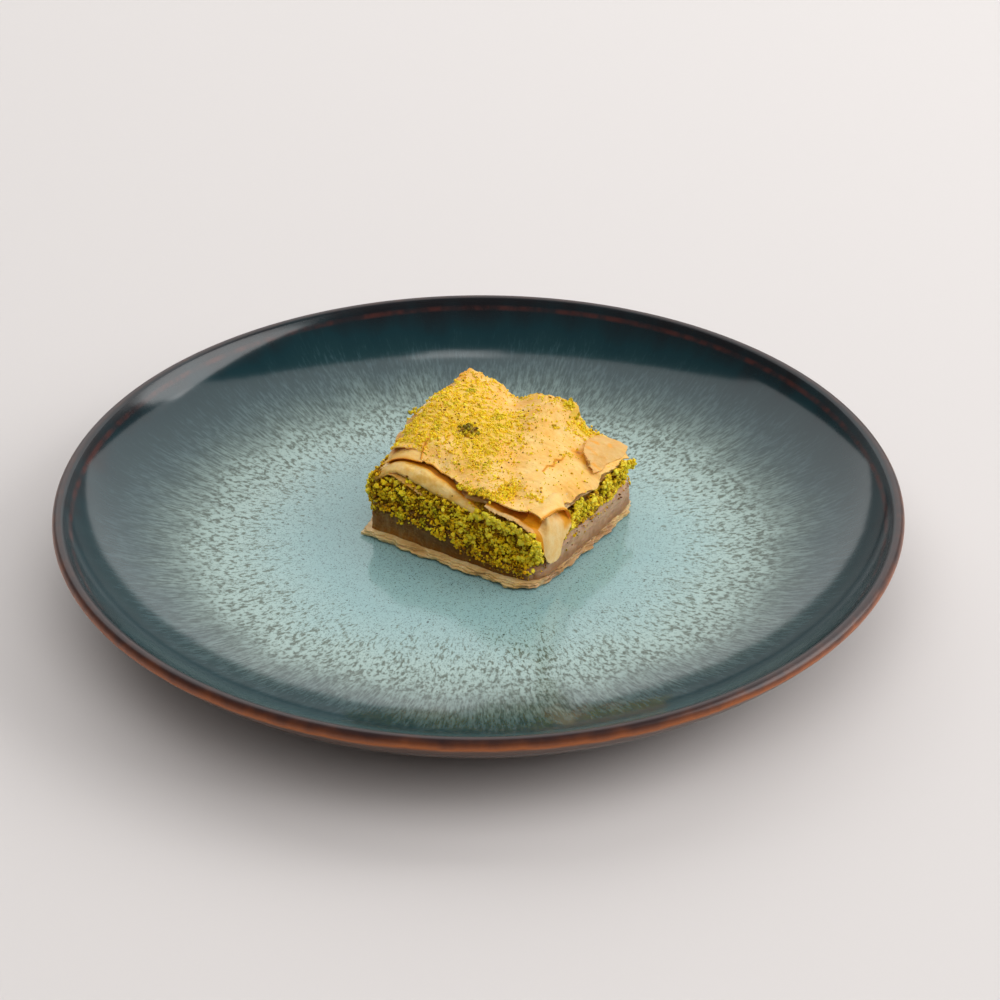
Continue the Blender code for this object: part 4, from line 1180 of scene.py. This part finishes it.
# %% Inner sheets: the hollow and the sheet that hangs over the corner
# Each line goes from the hidden root to the free edge, and the lines follow each other to the right
CORNER = tuple(zip(
    ((9, -18.5, 20), (9, -20.5, 19.8), (9, -22, 19.4), (9, -22.9, 19), (9, -23.5, 18.7)),
    ((12, -18.5, 19.8), (12, -20.5, 19.2), (12, -22.2, 18.7), (12, -23.1, 18.6), (12, -23.7, 18.3)),
    ((15, -18, 19.4), (15, -20, 18.4), (15, -21.8, 17.9), (15, -23, 18.4), (15, -23.8, 18.1)),
    ((18, -17.5, 19.2), (18, -19.6, 17.8), (18, -21.5, 17.3), (18, -23, 18.1), (18, -23.9, 17.9)),
    ((20.5, -17, 18.9), (20.8, -19.2, 17.5), (21, -21.4, 16.8), (21, -23.1, 17.1), (21, -23.9, 16.6)),
    ((21.6, -17, 18.6), (22.2, -19, 17.2), (22.6, -20.9, 16.4), (22.9, -22.4, 15.9), (23, -23, 14.8)),
    ((22, -17.6, 18.8), (23.1, -19, 18), (24, -20.2, 16.4), (24.4, -21.3, 14), (24.5, -21.9, 11.6)),
    ((22.6, -18.2, 19.2), (24, -19.2, 18.6), (24.8, -19.6, 16.4), (25.2, -20.6, 12.4), (25, -21, 8.6)),
    ((22.8, -17.8, 19), (24.1, -18.2, 18.2), (25, -18.3, 15.9), (25.4, -19.2, 11.2), (25.2, -19.8, 6.6)),
    ((22.6, -16.6, 18.6), (24, -16.8, 17.7), (25, -16.8, 15.5), (25.4, -17.6, 10.8), (25.2, -18, 5.9)),
    ((22.2, -15.2, 18), (23.6, -15.2, 16.9), (24.9, -15.2, 15), (25.3, -16, 10.4), (25.2, -16.2, 5.6)),
    ((21.8, -13.8, 17.6), (23.3, -13.8, 16.3), (24.8, -13.8, 14.6), (25.2, -14.4, 10.6), (25.1, -14.6, 6.2)),
    ((21.8, -12.2, 17.4), (23.3, -12.4, 16), (24.7, -12.6, 14.4), (25.1, -13.1, 11.8), (25.1, -13.4, 9.2)),
    ((21.8, -10.4, 17.2), (23.2, -10.8, 15.8), (24.5, -11.2, 14.2), (24.9, -11.4, 12.3), (25, -11.5, 10.4)),
    ((21.8, -8.6, 17), (23.1, -9, 15.6), (24.3, -9.2, 14.2), (24.8, -9.3, 12.8), (24.9, -9.3, 11.6))))


def corner_painted_shade(x, y, z):
    """Painted shade deep in the hollow, at its right end and at the top of the hanging part under the arch;
    pale on the lip and the rest of the hanging part.
    """
    uneven = 0.25 * wave(x, y + z, 2.0, 110.0)
    if x > 23.2 and y > -21.6:
        return clamp(min(y + 13.8, z - 11.5) / 3.0 + uneven * 0.5, 0.0, 0.6)
    inside = (y + 23.35) / 1.1
    right_end = 0.32 * clamp((x - 17.5) / 3.0)
    return clamp(max(inside, right_end) + uneven, 0.0, 0.9 if x < 19.0 else 0.6)


hanging_finish = sheet_finish("hanging_sheet", (0.98, 0.66, 0.30), (0.97, 0.60, 0.23), (0.95, 0.53, 0.16),
                              patches=0.4, soft=0.12)
inner_sheet("corner_sheet_draped", hanging_finish, corner_painted_shade, CORNER, across=180, along=80,
            thickness=0.28, seed=103.0, ripple=0.34, fray=0.45)

# %% Arch: the top sheet's rim above the hanging sheet
# y and z of the rim, and how far its first points are drawn back
ARCH_EDGE = ((-23.4, 20.6), (-22, 20.5), (-20.5, 20.3), (-18.7, 20.1), (-16.9, 19.8), (-15.2, 19.3),
             (-13.6, 18.6), (-12.2, 17.7), (-11, 16.6), (-10.2, 15.3), (-9.8, 13.9))
ARCH_END = (1.0, 0.45, 0.1)


def arch_row(x, off_end, height):
    """One row along the arch; its front end is drawn back a little, under the top sheet's own edge."""
    row = []
    for number, (v, z) in enumerate(ARCH_EDGE):
        y = v + off_end * ARCH_END[number] if number < len(ARCH_END) else v
        row.append((x, y, height(x, y, z)))
    return tuple(row)


ARCH = (arch_row(20.2, 2.6, lambda x, y, z: sheet_height(x, y) - 0.5),
        arch_row(22.0, 1.6, lambda x, y, z: sheet_height(x, y) - 0.05),
        arch_row(23.8, 0.6, lambda x, y, z: 0.5 * (z + min(sheet_height(x, y), z + 1.6)) + 0.3),
        arch_row(24.8, 0.2, lambda x, y, z: z + 0.3),
        arch_row(25.3, 0.0, lambda x, y, z: z - 0.1))
inner_sheet("top_sheet_arch", top_finish, lambda x, y, z: 0.75 * math.exp(-max(25.2 - x, 0.0) / 0.22),
            ARCH, across=120, along=40, thickness=0.28, seed=113.0, ripple=0.1, fray=0.3)

# %% [markdown]
# A torn piece of a sheet lies loose on the right corner of the top. Its colours are darker than the top
# sheet's as painted shade, which evens out the extra light its tilted face gets. Its points are given by
# how high they stand over the top sheet, so it follows the sheet's form at the back and lifts a little at
# its front rim.

# %% Loose flake at the right corner
# x, y and height over the top sheet
FLAKE_POINTS = (((21.4, 24, -0.4), (22.8, 20, -0.5), (22.9, 15.8, -0.5), (22.4, 11.8, -0.4),
                 (23.2, 8.2, -0.4), (22.8, 4.6, -0.2)),
                ((18.8, 23.6, -0.1), (20.2, 18.8, 0), (20.4, 14.6, 0.1), (20.2, 11.2, 0.2),
                 (21.4, 8, 0.1), (22.3, 5.2, 0)),
                ((16.2, 22.6, 0.2), (16.9, 17.6, 0.5), (18, 13.6, 0.7), (18.9, 10.4, 0.7),
                 (20.2, 8, 0.5), (21.9, 5.6, 0.2)),
                ((14, 20.6, 0.3), (14.3, 15.8, 0.7), (15.7, 12.2, 1.1), (17, 9.6, 1.1),
                 (19, 7.8, 0.8), (21.3, 5.8, 0.3)))
FLAKE = [[(x, y, sheet_height(x, y) + 0.2 + lift) for x, y, lift in row] for row in FLAKE_POINTS]
# Painted shade: the flake's colours are a darker copy of the top sheet's
flake_shaded_finish = sheet_finish("flake_painted_shade", (0.76, 0.46, 0.165), (0.73, 0.40, 0.12), (0.69, 0.35, 0.085),
                            patches=0.4)
inner_sheet("loose_flake", flake_shaded_finish, lambda x, y, z: 0.8 * wave(x, y, 2.2, 117.0) - 0.1, FLAKE,
            across=90, along=60, thickness=0.26, seed=107.0, ripple=0.3, fray=0.6)

# %% [markdown]
# Ground nuts are strewn over the top: a cover on the left half and along the back, a green lump, small
# heaps at the front edge, and single grains elsewhere. The same grains as in the band are used, at
# their true size, and the same map that tints the sheet under them decides where they lie.

# %% Crumbs on the top
draw = random.Random(77)


def on_sheet(x, y, size, lift=0.35):
    """Height of the middle of a grain that lies on the top sheet."""
    return sheet_height(x, y) + top_detail(x, y) + lift * size


def top_spots(count, small, large):
    """Spots for grains on the top sheet, as many at a place as its dusting tells."""
    found = []
    while len(found) < count:
        a, b = draw.uniform(-1.0, 1.0), draw.uniform(-1.0, 1.0)
        x, y, z = top_place(a, b)
        cover = dusted(x, y) * (0.55 + 1.5 * lumps(x, y, 0.0, 1.5, 21.0))
        if draw.random() > cover:
            continue
        size = small + (large - small) * draw.random() ** 2
        shade = clamp(draw.gauss(0.66, 0.18), 0.1, 0.98) if draw.random() < 0.985 else 0.15
        green = clamp(1.7 * lumps(x, y, 0.0, 3.0, 25.0) - 0.15 + draw.gauss(0.0, 0.15))
        found.append((x, y, z + 0.3 * size, size, shade, green))
    return found


# Each kind: how many, smallest, largest
for name, models, spots in (("top_crumbs_fine", fine_grains, (9900, 0.08, 0.24)),
                            ("top_crumbs_coarse", middle_grains, (1500, 0.20, 0.46))):
    strew(name, models, top_spots(*spots))

# %% Crumbs: heaps and specks on the top
# Heaps: x, y, spread in x and y, how many, smallest, largest, shade, green, piled height
HEAPS = ((-9.8, -1.9, 1.0, 1.0, 40, 0.35, 0.75, 0.22, 0.7, 0.9),
         (-9.2, -4.0, 0.9, 0.9, 22, 0.30, 0.6, 0.45, 0.6, 0.5),
         (-25.6, -3.7, 0.4, 0.9, 12, 0.30, 0.6, 0.50, 0.8, 0.2),
         (11.2, -17.6, 1.2, 1.8, 46, 0.25, 0.5, 0.66, 0.3, 0.3),
         (9.5, -21.4, 1.4, 0.7, 40, 0.25, 0.5, 0.60, 0.4, 0.1),
         (3.5, -21.0, 2.6, 0.5, 60, 0.25, 0.5, 0.50, 0.6, 0.0),
         (18.4, -15.2, 1.2, 0.6, 10, 0.20, 0.4, 0.70, 0.1, 0.1),
         (5.6, 22.4, 1.2, 0.8, 26, 0.30, 0.6, 0.60, 0.7, 0.3),
         (12.0, 21.5, 1.8, 1.0, 26, 0.30, 0.5, 0.60, 0.3, 0.2),
         (6.3, 12.9, 0.3, 0.3, 4, 0.30, 0.4, 0.30, 0.6, 0.0))
# Places of the dark specks of nut skin
SKINS = ((-8.3, -14.8), (-7.7, -10.1), (-3.5, -8.8), (1.1, -11.2), (3.2, -8.9), (5.3, -6.9), (4.9, -5.2),
         (18.4, -12.7), (-14.9, 18.0), (-15.9, 5.0), (-5.0, 15.9), (-2.7, 14.8), (12.2, -18.2), (14.2, 2.2))
RIBBON_SKIN, SKIN_LOOK = (-14.5, -22.8, 19.5), (0.03, 0.1)
heaps = []
for x, y, wide, deep, count, small, large, shade, green, piled in HEAPS:
    for _ in range(count):
        off_x, off_y = draw.gauss(0.0, 1.0), draw.gauss(0.0, 1.0)
        size = draw.uniform(small, large)
        rise = piled * math.exp(-0.5 * (off_x ** 2 + off_y ** 2)) * draw.random()
        u, v = x + wide * off_x, y + deep * off_y
        look = clamp(draw.gauss(shade, 0.14), 0.02, 0.97), clamp(draw.gauss(green, 0.2))
        heaps.append((u, v, on_sheet(u, v, size) + rise, size, *look))
for x, y in SKINS:
    size = draw.uniform(0.20, 0.32)
    heaps.append((x, y, on_sheet(x, y, size, 0.2), size, *SKIN_LOOK))
heaps.append((*RIBBON_SKIN, 0.4, *SKIN_LOOK))
print("grains in heaps and specks:", len(heaps))

# %% Crumbs: clusters on the sides
# Under the lip at the front: x and z of the middle, spreads, how many
FRONT_CLUSTERS = ((9.0, 17.0, 2.4, 0.9, 70), (13.0, 16.7, 2.6, 1.1, 110), (17.5, 16.3, 2.6, 1.3, 130),
                  (21.5, 14.6, 1.8, 1.7, 130), (23.6, 12.0, 1.0, 2.0, 90), (24.2, 9.2, 0.7, 1.6, 50))
# Hanging on the soaked front below the band: x and z of the middle, spreads, how many
HANGING = ((-20.0, 9.6, 2.0, 0.9, 26), (-15.5, 9.0, 1.6, 1.5, 50), (-9.5, 8.6, 2.4, 1.1, 44),
           (-3.5, 7.6, 2.4, 1.3, 56), (2.0, 6.6, 2.0, 1.5, 66), (7.0, 5.8, 2.2, 1.5, 80),
           (12.0, 5.2, 2.2, 1.2, 60), (16.5, 4.9, 1.8, 1.0, 36), (20.5, 4.9, 1.5, 0.7, 12))
# On the right side, above the band: y and z of the middle, spreads, how many
RIGHT_CLUSTERS = ((20.5, 13.6, 1.2, 1.6, 70), (15.5, 14.0, 3.0, 2.2, 130), (9.0, 14.5, 2.4, 1.8, 90),
                  (-4.5, 14.2, 1.6, 1.9, 70), (-7.5, 11.5, 1.2, 1.8, 40), (2.0, 12.5, 2.2, 1.2, 50))
GAP_LIMIT = -0.12


def cluster_spots(clusters, small, extra):
    """Sizes and places of grains in a cluster's box: size, place along the side, height."""
    for middle, z, long, tall, count in clusters:
        for _ in range(count):
            size = small + extra * draw.random() ** 2
            yield size, middle + long * draw.uniform(-1.0, 1.0), z + tall * draw.uniform(-1.0, 1.0)


# Painted light and shade: grains of clumps that stand out are lighter, and larger grains lighter still
for size, x, z in cluster_spots(FRONT_CLUSTERS, 0.20, 0.56):
    clump = lumps(x, 24.0, z, 1.5, 33.0)
    if clump > GAP_LIMIT:
        y = -24.3 + 0.9 * max(x - 22.0, 0.0) - 0.4 * draw.random() - 0.9 * clump
        heaps.append((x, y, z, size, *grain_colour(x, -24.0, z, 0.3 + 1.6 * clump, 0.5 * size)))
for middle, high, long, tall, count in HANGING:
    for _ in range(count):
        size = draw.uniform(0.18, 0.52)
        x, z = middle + long * draw.gauss(0.0, 0.5), high + tall * draw.gauss(0.0, 0.6)
        y = -24.75 - 0.3 * draw.random()
        # Painted shade: these grains darken towards the right, as the soaked front behind them does
        look = grain_colour(x, -24.0, z, 0.4 - 0.9 * clamp((x + 2.0) / 10.0))
        heaps.append((x, y, max(z, 2.4), size, *look))
# Painted light and shade here too, as at the front
for size, y, z in cluster_spots(RIGHT_CLUSTERS, 0.22, 0.54):
    clump = lumps(24.0, y, z, 1.5, 31.0)
    if clump > GAP_LIMIT:
        x = 24.0 + 0.5 * draw.random() + 0.8 * clump
        heaps.append((x, y, z, size, *grain_colour(24.0, y, z, 0.4 + 1.6 * clump, 0.5 * size)))
LARGE = 0.46
strew("pistachio_heaps", middle_grains, [spot for spot in heaps if spot[3] < LARGE])
strew("pistachio_heaps_large", coarse_grains, [spot for spot in heaps if spot[3] >= LARGE])

# %% [markdown]
# The floor is plain and pale. One wide soft light stands behind the plate. Its reflection lies as a
# pale veil over the glaze, but not over the plate's far wall, which leans the other way and stays
# dark. Four more light the cake: the one from above and the one in front don't show in the glaze.

# %% Floor
deselect()
bpy.ops.mesh.primitive_plane_add(size=8.0)
floor = bpy.context.active_object
floor.name = "floor"
pale = Finish("pale_floor", roughness=0.9, Base_Color=(0.69, 0.655, 0.64))
floor.data.materials.append(pale.material)

# %% Lights
def soft_light(name, across, away, up, aim_up, width, height, power, mirrored=True):
    """A rectangular soft light, placed in metres across, away from and above the cake as seen by the
    camera, and aimed at a height above the plate's middle."""
    place = RIGHT * across + AWAY * away + Vector((0.0, 0.0, up))
    turn = (Vector((0.0, 0.0, aim_up)) - place).to_track_quat('-Z', 'Y').to_euler()
    bpy.ops.object.light_add(type='AREA', location=place, rotation=turn)
    light = bpy.context.active_object
    light.name = name
    light.data.shape = 'RECTANGLE'
    light.data.size, light.data.size_y = width, height
    light.data.energy = power
    light.visible_camera = False
    light.visible_glossy = mirrored
    print("light", name, "of", power, "W")


soft_light("wide_back_light", 0.0, 0.891, 0.8285, -0.101, 2.2, 1.22, 11.6)
soft_light("key_lamp", 0.03, 0.45, 1.25, 0.0, 0.13, 0.13, 0.16)
soft_light("right_fill", 1.5, 0.0, 0.9, 0.0, 1.5, 1.1, 21.0)
soft_light("overhead_fill", 0.0, -0.9, 2.0, 0.0, 3.0, 2.4, 23.0, mirrored=False)
soft_light("front_fill", 0.1, -0.75, 1.1, 0.0, 1.2, 0.8, 2.2, mirrored=False)

# %% Surroundings
# Dim light from all round, brighter near the horizon than overhead: how far up, how bright
HORIZON, OVERHEAD = (0.05, 0.40), (0.5, 0.10)
world = bpy.data.worlds.new("studio")
bpy.context.scene.world = world
world.use_nodes = True
nodes, links = world.node_tree.nodes, world.node_tree.links
up_down = nodes.new("ShaderNodeSeparateXYZ")
links.new(nodes.new("ShaderNodeTexCoord").outputs["Generated"], up_down.inputs[0])
fade = nodes.new("ShaderNodeMapRange")
fade.interpolation_type = 'SMOOTHSTEP'
links.new(up_down.outputs["Z"], fade.inputs[0])
for number, value in enumerate((HORIZON[0], OVERHEAD[0], HORIZON[1], OVERHEAD[1])):
    fade.inputs[number + 1].default_value = value
links.new(fade.outputs[0], nodes["Background"].inputs["Strength"])
nodes["Background"].inputs["Color"].default_value = (1.0, 0.97, 0.95, 1.0)
print("surroundings:", len(nodes), "nodes")
